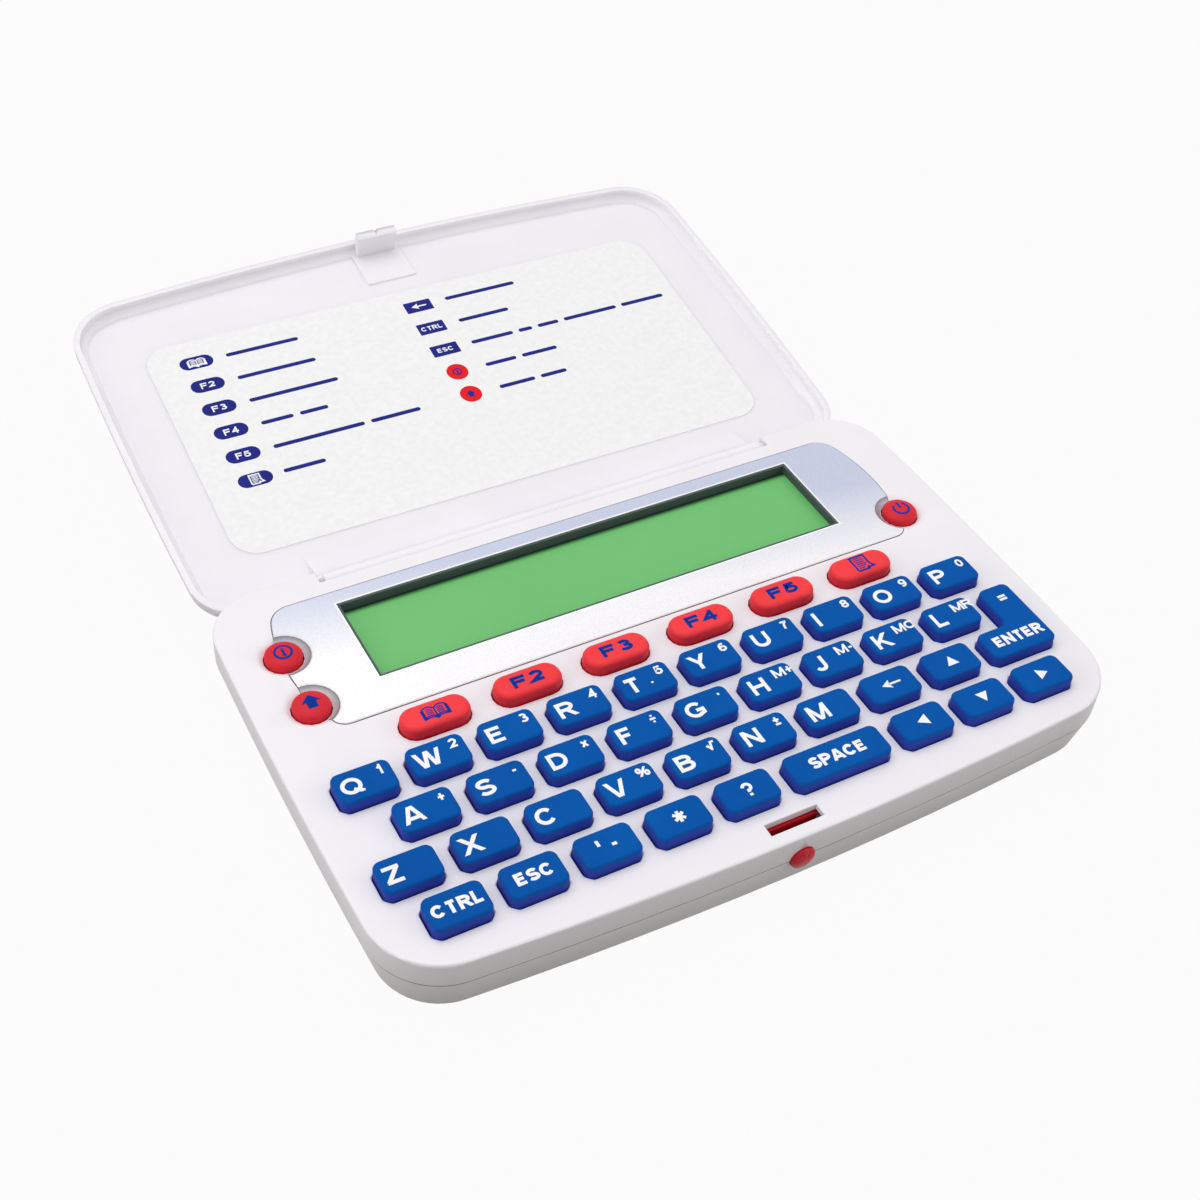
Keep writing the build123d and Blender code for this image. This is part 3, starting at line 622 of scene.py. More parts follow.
@dataclass
class Printer:
    """Prints letters and signs as thin ink on a level face."""

    ink: float = 0.022
    lift: float = 0.004
    stem: float = 0.205
    gap: float = 0.13

    def middle_lines(self, character: str) -> list[tuple[list[Point], bool]]:
        """Works out the middle lines of a character's strokes.

        Args:
            character: The character.

        Returns:
            For each stroke its points, in a box of 1 by 1, and whether it is closed.
        """
        strokes = []
        for written in filter(None, CHARACTERS[character][1].split("|")):
            points: list[Point] = []
            for word in written.rstrip("z").split():
                numbers = [float(number) for number in word.lstrip("@").split(",")]
                if len(numbers) == 2:
                    points.append((numbers[0], numbers[1]))
                    continue
                x, y, wide, tall, start, end = numbers
                steps = max(4, round(abs(end - start) / 15))
                last = steps if abs(end - start) >= 360 else steps + 1
                for step in range(last):
                    turn = math.radians(start + (end - start) * step / steps)
                    point = (x + wide * math.cos(turn), y + tall * math.sin(turn))
                    if not points or math.dist(points[-1], point) > 0.01:
                        points.append(point)
            strokes.append((points, written.endswith("z")))
        return strokes

    def letters(self, text: Sequence[str], cap: float, place: Point, height: float, stretch: float = 1.0,
                stem: float | None = None, gap: float | None = None, centred: bool = True,
                level_ends: bool = True) -> Piece:
        """Sets a line of type.

        Args:
            text: Its characters.
            cap: The height of its capitals in millimetres.
            place: The middle of its height, at its left end or, where it is centred, at its middle.
            height: The height of the face that it is printed on.
            stretch: How much wider than usual the letters are.
            stem: The strokes' width as a share of the cap height.
            gap: The space between characters as a share of the cap height.
            centred: Whether the line is centred on the place.
            level_ends: Whether the strokes end level with the line's foot and head.

        Returns:
            The type as a mesh.
        """
        stem = self.stem if stem is None else stem
        gap = self.gap if gap is None else gap
        widths = [CHARACTERS[c][0] * stretch for c in text]
        length = sum(widths) + gap * (len(text) - 1)
        pen = -length / 2 if centred else 0.0
        corners: list[Place] = []
        edges: list[tuple[int, int]] = []
        for character, width in zip(text, widths):
            for order, (points, closed) in enumerate(self.middle_lines(character)):
                first = len(corners)
                for u, v in points:
                    corners.append((pen + stem / 2 + u * (width - stem), stem / 2 + v * (1 - stem) - 0.5,
                                    order * self.lift))
                edges += [(k, k + 1) for k in range(first, len(corners) - 1)]
                if closed:
                    edges.append((len(corners) - 1, first))
            pen += width + gap
        mesh = bpy.data.meshes.new("type")
        mesh.from_pydata([((place[0] + x * cap) * MM, (place[1] + y * cap) * MM, (height + rise) * MM)
                          for x, y, rise in corners], edges, [])
        line = bpy.data.objects.new("type", mesh)
        bpy.context.scene.collection.objects.link(line)
        self.thicken_lines(line, stem * cap)
        if level_ends:
            self.trim(line, (place[1] - cap / 2, place[1] + cap / 2))
        return line

    def thicken_lines(self, line: Piece, width: float) -> None:
        """Makes strokes of a width in millimetres, as thick as ink, from their middle lines."""
        edit(line)
        bpy.ops.mesh.select_mode(type="EDGE")
        bpy.ops.mesh.select_all(action="SELECT")
        self.raise_ink()
        leave()
        broad = line.modifiers.new("broad", "SOLIDIFY")
        broad.thickness = width * MM
        broad.offset = 0.0
        broad.use_even_offset = True
        bpy.ops.object.modifier_apply(modifier=broad.name)
        edit(line)
        leave_outwards()

    def raise_ink(self) -> None:
        """Draws what is selected up into ink, from a little below its face."""
        bpy.ops.transform.translate(value=(0, 0, -self.ink * MM / 2))
        extrude(0, 0, 1.5 * self.ink)

    def trim(self, line: Piece, span: Point) -> None:
        """Cuts off what stands out below the foot or above the head of a line of type."""
        edit(line)
        for level, way in zip(span, (-1, 1)):
            cut((0, level, 0), (0, way, 0), away=True, fill=True)
        leave()

    def thicken(self, flat: Piece) -> Piece:
        """Gives a flat shape at the height of the face the thickness of ink, and gives it back closed."""
        edit(flat, whole=True)
        bpy.ops.mesh.remove_doubles(threshold=0.0005 * MM)
        self.raise_ink()
        leave_outwards()
        return flat

    def outline(self, name: str, points: Sequence[Point], height: float, rounding: float = 0.0) -> Piece:
        """Prints a filled shape that a few corners give.

        Args:
            name: The shape's name.
            points: Its corners in millimetres, in order.
            height: The height of the face.
            rounding: How far its corners are rounded.

        Returns:
            The shape, closed.
        """
        deselect()
        bpy.ops.mesh.primitive_circle_add(vertices=len(points), radius=MM, fill_type="NGON")
        shape = bpy.context.active_object
        shape.name = name
        for corner, (x, y) in zip(shape.data.vertices, points):
            corner.co = (x * MM, y * MM, height * MM)
        if rounding:
            edit(shape, whole=True)
            bpy.ops.mesh.bevel(offset=rounding * MM, segments=4, affect="VERTICES")
            leave()
        return self.thicken(shape)

    def bar(self, start: Point, end: Point, width: float, height: float) -> Piece:
        """Prints a round-ended stroke from one point to another.

        Args:
            start: One end of its middle line.
            end: The other end.
            width: Its width.
            height: The height of the face.

        Returns:
            The stroke, closed.
        """
        run = Vector(end) - Vector(start)
        along = run.normalized() * width / 2
        side = Vector((-along.y, along.x))
        corners = [Vector(start) - along + side, Vector(start) - along - side,
                   Vector(end) + along - side, Vector(end) + along + side]
        return self.outline("stroke", [tuple(c) for c in corners], height, width * 0.49)

    def ring(self, place: Point, radius: float, width: float, height: float) -> Piece:
        """Prints a circle.

        Args:
            place: Its middle.
            radius: The radius of its middle line.
            width: The stroke's width.
            height: The height of the face.

        Returns:
            The ring, closed.
        """
        middle = (place[0] * MM, place[1] * MM, height * MM)
        inner, outer = radius - width / 2, radius + width / 2
        deselect()
        bpy.ops.mesh.primitive_circle_add(vertices=36, radius=outer * MM, location=middle)
        made = new_piece("ring")
        edit(made)
        bpy.ops.mesh.select_mode(type="EDGE")
        bpy.ops.mesh.select_all(action="SELECT")
        extrude(0, 0, 0)
        bpy.ops.transform.resize(value=(inner / outer, inner / outer, 1), center_override=middle)
        leave()
        return self.thicken(made)

    def sign(self, sign: Sign, place: Point, size: float, height: float) -> Piece:
        """Prints one sign.

        Args:
            sign: Which sign.
            place: Its middle.
            size: Its size in millimetres.
            height: The height of the face.

        Returns:
            The sign as one mesh.
        """
        if sign in (Sign.INFO, Sign.POWER):
            return self.letters([sign.value], size, place, height, stem=0.13, level_ends=False)
        if sign in (Sign.BOOK, Sign.PAGE):
            return join(sign.value, [
                self.letters([sign.value + end], size, place, height, stem=stem, level_ends=False)
                for end, stem in (("", 0.105), (" text", 0.06))])
        if sign is Sign.BACK:
            return join(sign.value, self.back_arrow(place, size, height))
        if sign is Sign.HOUSE:
            return self.house(place, size, height)
        return self.arrow(sign, place, size, height)

    def arrow(self, sign: Sign, place: Point, size: float, height: float) -> Piece:
        """Prints a filled triangle that points one way."""
        turn = {Sign.RIGHT: 0, Sign.UP: 90, Sign.LEFT: 180, Sign.DOWN: 270}[sign]
        corners = [(0.5, 0.0), (-0.42, 0.52), (-0.42, -0.52)]
        spun = [Matrix.Rotation(math.radians(turn), 2) @ Vector(c) * size for c in corners]
        return self.outline("arrow", [(place[0] + c.x, place[1] + c.y) for c in spun], height, size * 0.03)

    def back_arrow(self, place: Point, size: float, height: float) -> list[Piece]:
        """Prints an arrow with a shaft that points left."""
        x, y = place
        head = self.outline("head", [(x - size / 2, y), (x - 0.02 * size, y - 0.26 * size),
                                     (x - 0.10 * size, y), (x - 0.02 * size, y + 0.26 * size)], height)
        return [head, self.bar((x - 0.08 * size, y), (x + size / 2, y), size * 0.11, height)]

    def house(self, place: Point, size: float, height: float) -> Piece:
        """Prints a broad arrow that points up."""
        x, y = place
        half = size / 2
        return self.outline("shift", [(x, y + half), (x - half, y), (x - 0.5 * half, y),
                                      (x - 0.5 * half, y - 0.8 * half), (x + 0.5 * half, y - 0.8 * half),
                                      (x + 0.5 * half, y), (x + half, y)], height)


PRINTER = Printer()


# ---- Keys -------------------------------------------------------------------


@dataclass
class Keyboard:
    """The blue and red caps with what is printed on them."""

    width: float = 9.4
    depth: float = 6.1
    space_width: float = 17.5
    corner: float = 1.3
    top: float = 14.2
    foot: float = 9.55
    flange: float = 0.8
    overhang: float = 0.6
    edge: float = 0.5
    pitch: float = 12.0
    letter_height: float = 3.15
    letter_left: float = -3.85
    small_height: float = 1.8
    small_place: Point = (2.85, 1.15)
    word_height: float = 2.2
    sign_size: float = 2.1
    back_size: float = 3.4
    mark_height: float = 2.6
    pill_left: float = -40.0
    pill_pitch: float = 16.0
    pill_row: float = 2.7
    pill_size: Point = (11.6, 5.35)
    pill_edge: float = 1.05
    round_radius: float = 3.1
    round_top: float = 12.9
    lens_rise: float = 1.0
    lens_flat: float = 0.22
    made: list[Piece] = field(default_factory=list)

    def cap(self, name: str, place: Point, size: Point, round_it: Callable[[Piece], Piece]) -> Piece:
        """Models one cap with its flange.

        Args:
            name: The piece's name.
            place: Its middle.
            size: Its width and depth.
            round_it: Rounds its corners and its top edge.

        Returns:
            The cap.
        """
        (x, y), (w, d) = place, size
        made = block(name, (x - w / 2, y - d / 2, self.foot), (x + w / 2, y + d / 2, self.top))
        self.flange_out(made)
        return round_it(made)

    def flange_out(self, made: Piece) -> None:
        """Draws the flange out of a block's two ends, under the opening that holds the cap."""
        edit(made)
        cut((0, 0, self.foot + self.flange), (0, 0, 1))
        for side in (-1, 1):
            pick("FACE", made, lambda f: f.normal.x * side > 0.9
                 and f.calc_center_median().z < (self.foot + self.flange) * MM)
            extrude(side * self.overhang, 0, 0)
        leave()

    def round_off(self, made: Piece) -> Piece:
        """Rounds a cap's upright corners and its top edge, and gives the cap back."""
        soften(made, lambda e: is_upright(e) and e.calc_face_angle(0) > 0.5
               and max(v.co.z for v in e.verts) > (self.top - 0.1) * MM, self.corner, segments=5)
        soften(made, lambda e: is_level(e, self.top) and between(e, 0.5, 0.9), self.edge, segments=4)
        smooth(made)
        return made

    def round_pill(self, made: Piece) -> Piece:
        """Rounds a pill's ends fully and its top edge, and gives the pill back."""
        soften(made, lambda e: is_upright(e) and max(v.co.z for v in e.verts) > (self.top - 0.1) * MM,
               self.pill_size[1] / 2 - 0.12, segments=10)
        soften(made, lambda e: is_level(e, self.top) and between(e, 0.5, 0.9), self.pill_edge, segments=6)
        smooth(made, 40)
        return made

    def enter_cap(self, name: str) -> Piece:
        """Models the ENTER cap: a bar with a stem that rises from its right half."""
        left, right, stem = 47.4, 60.1, 54.1
        foot_y, bar_y, stem_y = -26.05, -19.95, -11.55
        made = block(name, (left, foot_y, self.foot), (right, bar_y, self.top))
        edit(made)
        cut((stem, 0, 0), (1, 0, 0))
        pick("FACE", made, lambda f: f.normal.y > 0.9 and f.calc_center_median().x > stem * MM)
        extrude(0, stem_y - bar_y, 0)
        leave()
        self.flange_out(made)
        return self.round_off(made)

    def round_cap(self, name: str, place: Point) -> Piece:
        """Models one round cap with a lens-shaped top, its middle at a place."""
        rim, rings = self.round_top - self.lens_rise, 8
        x, y, middle = place[0] * MM, place[1] * MM, (self.foot + rim) / 2 * MM
        deselect()
        bpy.ops.mesh.primitive_cylinder_add(vertices=48, radius=self.round_radius * MM, depth=(rim - self.foot) * MM,
                                            location=(x, y, middle))
        made = new_piece(name)
        centre = (x, y, rim * MM)
        edit(made)
        pick("FACE", made, lambda f: f.normal.z > 0.9)
        for ring in range(1, rings + 1):
            before, after = (math.radians(90 * k / rings) for k in (ring - 1, ring))
            rise = (math.sin(after) - math.sin(before)) * self.lens_rise
            wide = [self.lens_flat + (1 - self.lens_flat) * math.cos(turn) for turn in (before, after)]
            shrink = wide[1] / wide[0]
            extrude(0, 0, rise)
            bpy.ops.transform.resize(value=(shrink, shrink, 1), center_override=centre)
        leave()
        smooth(made, 50, weighted=False)
        return made

    def blue_key(self, word: str, place: Point, main: str | Sign, small: str = "",
                 width: float | None = None) -> None:
        """Makes a blue cap and prints it.

        Args:
            word: The end of the key's node name.
            place: Its middle.
            main: The letter, word or sign on it.
            small: The small sign at its upper right.
            width: Its width, where it isn't the usual one.
        """
        name = "cap_" + word
        cap = (self.enter_cap(name) if word == "enter"
               else self.cap(name, place, (width or self.width, self.depth), self.round_off))
        self.dress(cap, word, KEY_BLUE, "key_blue")
        x, y = place
        if word == "enter":
            marks = [self.word(main, (54.1, -22.9)),
                     PRINTER.letters("=", self.small_height, (57.2, -14.6), self.top, stretch=1.3, stem=0.26)]
        elif isinstance(main, Sign):
            marks = [PRINTER.sign(main, (x, y), self.back_size if main is Sign.BACK else self.sign_size, self.top)]
        elif len(main) > 1 and main.isalpha():
            marks = [self.word(main, (x, y))]
        elif main.isalpha():
            marks = [PRINTER.letters(main, self.letter_height, (x + self.letter_left, y - 0.15), self.top,
                                     centred=False)]
        else:
            marks = [PRINTER.letters(main, self.mark_height, (x, y), self.top, stem=0.2, gap=0.5)]
        if small:
            marks.append(PRINTER.letters(small, self.small_height,
                                         (x + self.small_place[0], y + self.small_place[1]), self.top,
                                         stretch=1.08, stem=0.21, gap=0.08))
        if word == "t":
            marks.append(PRINTER.letters(".", self.small_height, (x + 0.7, y - 0.1), self.top))
        self.print_on(marks, word, PRINT_WHITE)

    def word(self, text: str, place: Point) -> Piece:
        """Sets a word in the heavy, close type that the wide legends have."""
        return PRINTER.letters(text, self.word_height, place, self.top, stretch=0.94, stem=0.25, gap=0.07)

    def dress(self, cap: Piece, word: str, finish: Moulded, slot: str) -> None:
        """Finishes a cap, hangs it on its key and lets it stand for the node.

        Args:
            cap: The cap.
            word: The end of the key's node name.
            finish: Its finish.
            slot: Not used.
        """
        finish.dress(cap)
        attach(cap, "key_" + word)
        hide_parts("key_" + word)
        self.made.append(cap)

    def print_on(self, marks: list[Piece], word: str, finish: Moulded) -> None:
        """Joins what is printed on one key and hangs it on that key."""
        legend = join("legend_" + word, marks)
        finish.dress(legend)
        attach(legend, "key_" + word)
        self.made.append(legend)

    def letter_rows(self) -> None:
        """Makes the three rows of letters."""
        rows = (
            ("QWERTYUIOP", "1234567890", -55.2, -5.6),
            ("ASDFGHJKL", ("+", "-", "×", "÷", "•", "M+", "M-", "MC", "MR"), -49.2, -14.3),
            ("ZXCVBNM", ("", "", "", "%", "√", "±", ""), -55.9, -23.0),
        )
        for letters, smalls, left, y in rows:
            for place, (letter, small) in enumerate(zip(letters, smalls)):
                self.blue_key(letter.lower(), (left + place * self.pitch, y), letter, small)

    def other_keys(self) -> None:
        """Makes the keys with words, signs and arrows."""
        third, fourth = -23.0, -31.7
        for word, x, y, mark in (
            ("backspace", 28.1, third, Sign.BACK), ("up", 40.1, third, Sign.UP), ("ctrl", -52.4, fourth, "CTRL"),
            ("esc", -40.4, fourth, "ESC"), ("apostrophe", -28.4, fourth, "'-"), ("star", -16.4, fourth, "*"),
            ("question", -4.4, fourth, "?"), ("space", 11.85, fourth, "SPACE"), ("left", 28.1, fourth, Sign.LEFT),
            ("down", 40.1, fourth, Sign.DOWN), ("right", 52.1, fourth, Sign.RIGHT), ("enter", 53.75, third, "ENTER"),
        ):
            self.blue_key(word, (x, y), mark, width=self.space_width if word == "space" else self.width)

    def red_keys(self) -> None:
        """Makes the row of pills and the three round keys."""
        for place in range(6):
            word = f"function_{place + 1}"
            x, y = self.pill_left + self.pill_pitch * place, self.pill_row
            self.dress(self.cap("cap_" + word, (x, y), self.pill_size, self.round_pill), word, KEY_RED, "key_red")
            if place in (0, 5):
                sign, size = ((Sign.BOOK, 2.7), (Sign.PAGE, 3.7))[place // 5]
                mark = PRINTER.sign(sign, (x, y), size, self.top)
            else:
                mark = PRINTER.letters(f"F{place + 1}", 2.4, (x, y), self.top, stretch=1.5, stem=0.27)
            self.print_on([mark], word, PRINT_BLUE)
        for word, place, sign in (("help", (-56.05, 25.5), Sign.INFO), ("shift", (-56.05, 13.6), Sign.HOUSE),
                                  ("power", (56.05, 12.9), Sign.POWER)):
            cap = self.round_cap("cap_" + word, place)
            self.dress(cap, word, KEY_RED, "key_red")
            mark = PRINTER.sign(sign, place, 3.2, self.round_top + 0.01)
            self.press_on(mark, place)
            self.print_on([mark], word, PRINT_BLUE)

    def press_on(self, mark: Piece, place: Point) -> None:
        """Bends a printed sign, level with a round cap's highest point, down over the lens at a place."""
        edit(mark, whole=True)
        bpy.ops.mesh.quads_convert_to_tris()
        bpy.ops.mesh.subdivide(number_cuts=3)
        leave()
        for vertex in mark.data.vertices:
            away = math.hypot(vertex.co.x / MM - place[0], vertex.co.y / MM - place[1]) / self.round_radius
            slope = min(1.0, max(0.0, (away - self.lens_flat) / (1 - self.lens_flat)))
            vertex.co.z -= self.lens_rise * (1 - math.sqrt(1 - slope * slope)) * MM

    def build(self) -> list[Piece]:
        """Makes every key and gives the caps and the legends."""
        self.letter_rows()
        self.other_keys()
        self.red_keys()
        return self.made


# ---- Case -------------------------------------------------------------------


@dataclass
class Case:
    """The two shells, the display with its bezel, and what closes the underside."""

    deck: float = 12.0
    rim_soft: float = 0.14
    upper_line: float = 0.65
    lower_line: float = 0.8
    slot_half: float = 4.7
    slot_rear: float = -37.2
    lip_foot: float = 10.68
    button_level: float = 7.0
    button_rings: tuple[Point, ...] = ((2.1, -41.9), (2.1, -42.0), (2.06, -42.13), (1.96, -42.22), (1.78, -42.3),
                                       (1.5, -42.4), (1.1, -42.5), (0.55, -42.57), (0.12, -42.595))
    deck_under: float = 10.4
    keys_end: float = 7.0
    opening_round: float = 0.62
    made: list[Piece] = field(default_factory=list)

    def shell(self, node: str, name: str, finish: Moulded, body: str = "base",
              angle: float = 32.0) -> None:
        """Takes a moulding over from the frame with its edges softened.

        Args:
            node: The node it stands for.
            name: The piece's name.
            finish: Its finish.
            body: The body it rides on.
            angle: Edges sharper than this stay sharp.
        """
        made = merged_copy(node, name)
        if node == "top_case":
            soften(made, lambda e: is_level(e, self.deck) and between(e, 0.1, 0.95), self.rim_soft)
            self.round_openings(made)
            self.hold(made, self.deck - self.upper_line)
        if node == "bottom_case":
            self.hold(made, self.lower_line)
        if node == "release_button":
            self.dome_button(made)
        smooth(made, angle, weighted=node != "release_button")
        finish.dress(made)
        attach(made, body)
        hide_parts(node)
        self.made.append(made)

    def round_openings(self, made: Piece) -> None:
        """Rounds the corners of the upper shell's key openings, laying the deck's two faces again around them."""
        edit(made)
        for level in (self.deck, self.deck_under):
            pick("FACE", made, lambda f: abs(f.normal.z) > 0.99 and all(is_level(e, level) for e in f.edges))
            bpy.ops.mesh.delete(type="FACE")
        leave()
        soften(made, lambda e: is_upright(e) and 0.7 < e.calc_face_angle(0) < 0.9
               and all(self.deck_under - 0.02 < v.co.z / MM < self.deck + 0.02 for v in e.verts)
               and all(v.co.y / MM < self.keys_end for v in e.verts), self.opening_round, segments=4)
        edit(made)
        for level in (self.deck, self.deck_under):
            pick("EDGE", made, lambda e: e.is_boundary and is_level(e, level))
            bpy.ops.mesh.fill(use_beauty=True)
        leave_outwards()

    def hold(self, made: Piece, level: float) -> None:
        """Cuts a line of edges around a shell at a level, which keeps the walls' shading even."""
        edit(made)
        cut((0, 0, level), (0, 0, 1))
        leave()

    def dome_button(self, made: Piece) -> None:
        """Shapes the release button's face again as a dome with a soft rim."""
        edit(made)
        last, depth = self.button_rings[0]
        cut((0, depth, 0), (0, -1, 0), away=True)
        pick("EDGE", made, lambda e: e.is_boundary)
        for radius, way in self.button_rings[1:]:
            extrude(0, way - depth, 0)
            bpy.ops.transform.resize(value=(radius / last, 1, radius / last),
                                     center_override=(0, way * MM, self.button_level * MM))
            last, depth = radius, way
        bpy.ops.mesh.merge(type="COLLAPSE")
        leave_outwards()

    def slot_lip(self) -> None:
        """Makes the lip that hangs from the slot's rear edge."""
        half, rear = self.slot_half, self.slot_rear
        lip = block("slot_lip", (-half, rear - 0.01, self.lip_foot), (half, rear + 0.3, self.deck - 0.9))
        soften(lip, lambda e: is_level(e, self.lip_foot) and e.calc_face_angle(0) > 1, 0.08)
        smooth(lip)
        CASE_WHITE.dress(lip)
        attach(lip, "base")
        self.made.append(lip)

    def build(self) -> list[Piece]:
        """Makes the case's pieces and gives them."""
        self.shell("top_case", "upper_shell", CASE_WHITE)
        self.shell("bottom_case", "lower_shell", CASE_WHITE)
        self.shell("display_bezel", "bezel", SILVER)
        self.shell("display_surround", "surround", SURROUND)
        self.shell("lcd_panel", "lcd", LCD_GREEN)
        self.shell("battery_door", "door", CASE_WHITE)
        self.slot_lip()
        self.shell("release_button", "latch_button", LATCH_RED, body="release", angle=40)
        return self.made


# ---- Lid --------------------------------------------------------------------


@dataclass
class Lid:
    """The lid, swung open, with the printed label inside it."""

    hinge_y: float = 40.3
    hinge_z: float = 10.4
    lean: float = 8.0
    floor_depth: float = 4.18
    label_low: Point = (-53.1, 12.3)
    label_high: Point = (52.9, 66.2)
    label_corner: float = 5.0
    label_turn: float = -0.7
    film: float = 0.1
    lift: float = 0.03
    row_pitch: float = 6.3
    plate_pitch: float = 6.5
    made: list[Piece] = field(default_factory=list)

    def place(self) -> Matrix:
        """Gives the move from a level sheet, with the hinge as its X axis, to the lid's inside."""
        tip = math.radians(self.lean)
        origin = Vector((0, self.hinge_y + self.floor_depth * math.sin(tip),
                         self.hinge_z - self.floor_depth * math.cos(tip))) * MM
        middle = Vector([(low + high) / 2 for low, high in zip(self.label_low, self.label_high)] + [0]) * MM
        turn = (Matrix.Translation(middle) @ Matrix.Rotation(math.radians(self.label_turn), 4, "Z")
                @ Matrix.Translation(-middle))
        return Matrix.Translation(origin) @ Matrix.Rotation(tip, 4, "X") @ turn

    def cover(self) -> None:
        """Takes the lid itself over from the frame."""
        made = merged_copy("lid", "lid_cover")
        smooth(made)
        LID_WHITE.dress(made)
        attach(made, "lid")
        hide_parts("lid")
        self.made.append(made)

    def label(self) -> None:
        """Makes the label's film."""
        made = block("label", (*self.label_low, 0.0), (*self.label_high, self.film))
        soften(made, is_upright, self.label_corner, segments=8)
        soften(made, lambda e: is_level(e, self.film), 0.03, segments=1)
        smooth(made)
        self.stick(made, LABEL_FILM)

    def stick(self, made: Piece, finish: Moulded) -> None:
        """Puts a sheet or print that was modelled level in its place inside the lid."""
        take(made)
        made.matrix_world = self.place() @ made.matrix_world
        bpy.ops.object.transform_apply(location=True, rotation=True, scale=True)
        finish.dress(made)
        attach(made, "lid")
        self.made.append(made)

    def words(self, lines: Sequence[tuple[float, float, Sequence[float]]]) -> list[Piece]:
        """Prints plain bars where an explanation stands.

        Args:
            lines: The left end, the height along the lid and the lengths of the bars, for each line.

        Returns:
            The bars.
        """
        bars = []
        for left, level, lengths in lines:
            start = left
            for length in lengths:
                bars.append(PRINTER.bar((start + 0.5, level), (start + length - 0.5, level), 0.9, self.film))
                start += length + 1.2
        return bars

    def key_list(self) -> None:
        """Prints the list of keys: their shapes in colour, each with plain bars beside it."""
        navy, white, red, dark = [], [], [], []
        over = self.film + self.lift
        for row in range(6):
            middle, level = (-44.1, 60.3 - self.row_pitch * row)
            navy.append(PRINTER.bar((middle - 1.6, level), (middle + 1.6, level), 3.2, self.film))
            if row in (0, 5):
                sign, size = ((Sign.BOOK, 2.1), (Sign.PAGE, 2.5))[row // 5]
                white.append(PRINTER.sign(sign, (middle, level), size, over))
            else:
                white.append(PRINTER.letters(f"F{row + 1}", 1.4, (middle, level), over, stretch=1.25))
        for row in range(3):
            middle, level = (1.4, 61.1 - self.plate_pitch * row)
            corners = [(middle + 2.8 * u, level + 1.5 * v) for u, v in ((-1, -1), (1, -1), (1, 1), (-1, 1))]
            navy.append(PRINTER.outline("plate", corners, self.film, 0.2))
            if row == 0:
                white.append(PRINTER.sign(Sign.BACK, (middle, level), 3.0, over))
            else:
                white.append(PRINTER.letters(("CTRL", "ESC")[row - 1], 1.1, (middle, level), over))
        for row, sign in enumerate((Sign.INFO, Sign.HOUSE)):
            spot = (1.1, 41.7 - self.row_pitch * row)
            red.append(PRINTER.ring(spot, 1.07, 2.1, self.film))
            dark.append(PRINTER.sign(sign, spot, 1.9, over))
        navy += self.words((
            (-38.4, 60.3, (14.4,)), (-38.4, 53.9, (15.5,)), (-38.4, 47.6, (17.5,)), (-38.4, 41.4, (6.3, 5.6)),
            (-38.4, 35.1, (17.8, 10.0)), (-38.8, 28.9, (8.1,)), (7.2, 61.4, (15.2,)), (7.2, 54.7, (10.8,)),
            (7.0, 48.2, (9.0, 3.0, 4.6, 11.8, 9.6)), (7.0, 41.6, (6.6, 7.6)), (7.0, 35.2, (7.6, 5.6)),
        ))
        for name, marks, finish in (("print_navy", navy, PRINT_NAVY), ("print_white", white, PRINT_WHITE),
                                    ("print_red", red, PRINT_RED), ("print_signs", dark, PRINT_NAVY)):
            self.stick(join(name, marks), finish)

    def build(self) -> list[Piece]:
        """Makes the lid's pieces and gives them."""
        self.cover()
        self.label()
        self.key_list()
        return self.made


# ---- What stays as the frame has it -------------------------------------------


def dress_frame() -> None:
    """Gives the nodes that stay on show their finishes."""
    finishes = {"circuit_board": BOARD, "keypad_mat": MAT_GREY, "coin_cells": CELL_STEEL,
                "case_screws": STEEL, "release_spring": STEEL}
    for node, finish in finishes.items():
        finish.dress(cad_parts[node])
        LOG.info("node %s dressed", node)


# ---- Camera, floor and light ---------------------------------------------------


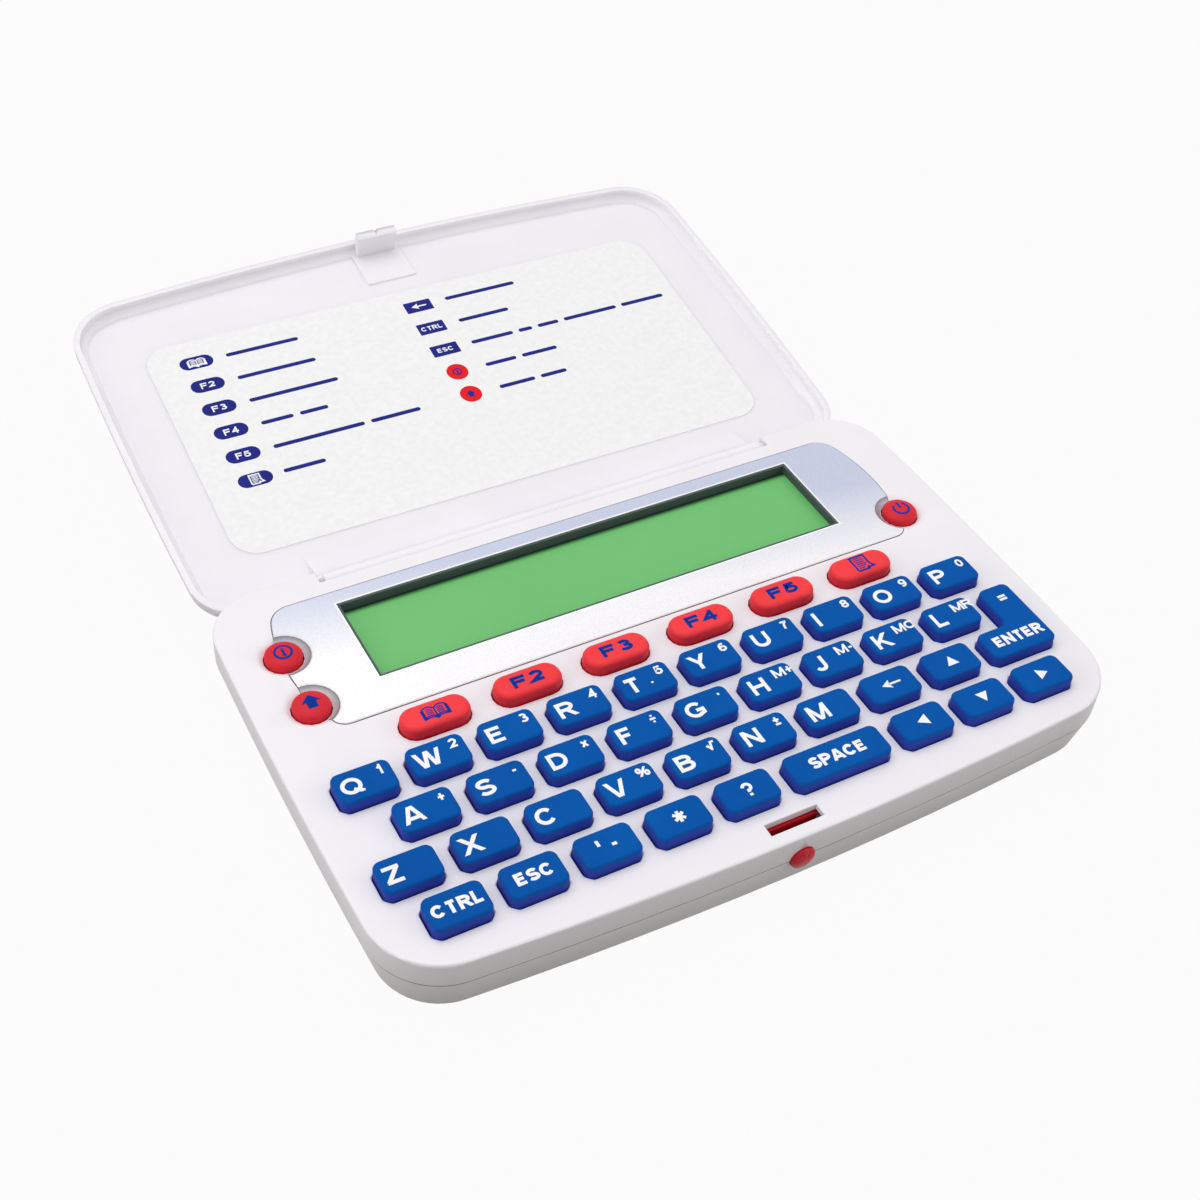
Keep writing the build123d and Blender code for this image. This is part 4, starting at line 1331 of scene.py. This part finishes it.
@dataclass
class Studio:
    """A plain pale floor, soft lamps and the camera."""

    camera_place: Place = (-0.115587, -0.163494, 0.215090)
    lens: float = 52.50
    turned: Place = (45.977, -3.581, -28.509)
    paper: Colour = (130, 128, 124)
    glow: float = 0.96
    fill: tuple[float, float, float, float] = (1.0, 0.985, 0.97, 1)
    white: tuple[float, float, float, float] = (1, 1, 1, 1)

    def camera(self) -> None:
        """Sets the camera up."""
        deselect()
        bpy.ops.object.camera_add(location=self.camera_place)
        made = bpy.context.active_object
        made.data.lens, made.data.sensor_width = self.lens, 36.0
        made.data.clip_start, made.data.clip_end = 0.01, 20.0
        made.rotation_euler = [math.radians(angle) for angle in self.turned]
        bpy.context.scene.camera = made

    def floor(self) -> None:
        """Lays the floor, which the camera sees as nearly white with the object's shadow on it."""
        deselect()
        bpy.ops.mesh.primitive_plane_add(size=6.0, location=(0, 0, 0))
        sheet = bpy.context.active_object
        sheet.name = "floor"
        edit(sheet, whole=True)
        bpy.ops.mesh.subdivide(number_cuts=4)
        leave()
        paper = bpy.data.materials.new("floor_paper")
        paper.use_nodes = True
        nodes, mixer = paper.node_tree.nodes, Mixer(paper.node_tree)
        shader = nodes["Principled BSDF"]
        mixer.feed(shader, {"Base Color": linear(self.paper), "Roughness": 0.9, "Specular IOR Level": 0.1})
        share = mixer.math("MULTIPLY", self.seen_ray(mixer), self.glow)
        seen = mixer.add("Emission", {"Color": self.white, "Strength": 1.0})
        mixer.feed(nodes["Material Output"],
                   {"Surface": mixer.add("MixShader", {0: share, 1: shader.outputs[0], 2: seen})})
        sheet.data.materials.append(paper)

    def seen_ray(self, mixer: Mixer) -> Socket:
        """Gives 1 for the rays that show a background: seen, mirrored and passed through."""
        path = mixer.add("LightPath").node.outputs
        seen = mixer.math("MAXIMUM", path["Is Camera Ray"], path["Is Glossy Ray"])
        return mixer.math("MAXIMUM", seen, path["Is Transmission Ray"])

    def sky(self) -> None:
        """Makes the world white where it is seen and softly lit elsewhere."""
        world = bpy.data.worlds.new("studio")
        bpy.context.scene.world = world
        world.use_nodes = True
        nodes, mixer = world.node_tree.nodes, Mixer(world.node_tree)
        fill = nodes["Background"]
        mixer.feed(fill, {"Color": self.fill, "Strength": 0.50})
        white = mixer.add("Background", {"Color": self.white, "Strength": 1.0})
        mixer.feed(nodes["World Output"],
                   {"Surface": mixer.add("MixShader", {0: self.seen_ray(mixer), 1: fill.outputs[0], 2: white})})

    def lamp(self, name: str, place: Place, size: float, power: float,
             colour: Colour) -> None:
        """Hangs one square lamp that looks at the object.

        Args:
            name: The lamp's name.
            place: Where it hangs, in metres.
            size: The length of its side.
            power: Its power in watts.
            colour: Its colour.
        """
        deselect()
        bpy.ops.object.light_add(type="AREA", location=place)
        made = bpy.context.active_object
        made.name = name
        made.data.size, made.data.energy, made.data.color = size, power, colour
        aim = Vector((0, 0.02, 0)) - Vector(place)
        made.rotation_euler = aim.to_track_quat("-Z", "Y").to_euler()

    def build(self) -> None:
        """Sets up the whole studio."""
        self.camera()
        self.floor()
        self.sky()
        self.lamp("overhead", (-0.10, 0.25, 0.95), 0.9, 4.75, (0.975, 0.965, 1.0))
        self.lamp("left_fill", (-0.95, 0.15, 0.38), 0.7, 2.1, (1.0, 0.985, 0.975))
        self.lamp("right_fill", (0.85, -0.45, 0.45), 0.7, 1.9, (1.0, 0.985, 0.965))


# ---- All of it ------------------------------------------------------------------


def note_size() -> None:
    """Updates the view layer.
    """
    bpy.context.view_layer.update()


def main() -> None:
    """Builds the classes in order and reports each piece."""
    logging.basicConfig(level=logging.INFO, format="%(name)s: %(message)s")
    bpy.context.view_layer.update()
    bpy.context.scene.view_settings.view_transform = "Standard"
    Studio().build()
    for shop in (Case(), Keyboard(), Lid()):
        for piece in shop.build():
            LOG.info("%s: %d faces", piece.name, len(piece.data.polygons))
    dress_frame()
    note_size()


if __name__ == "__main__":
    main()
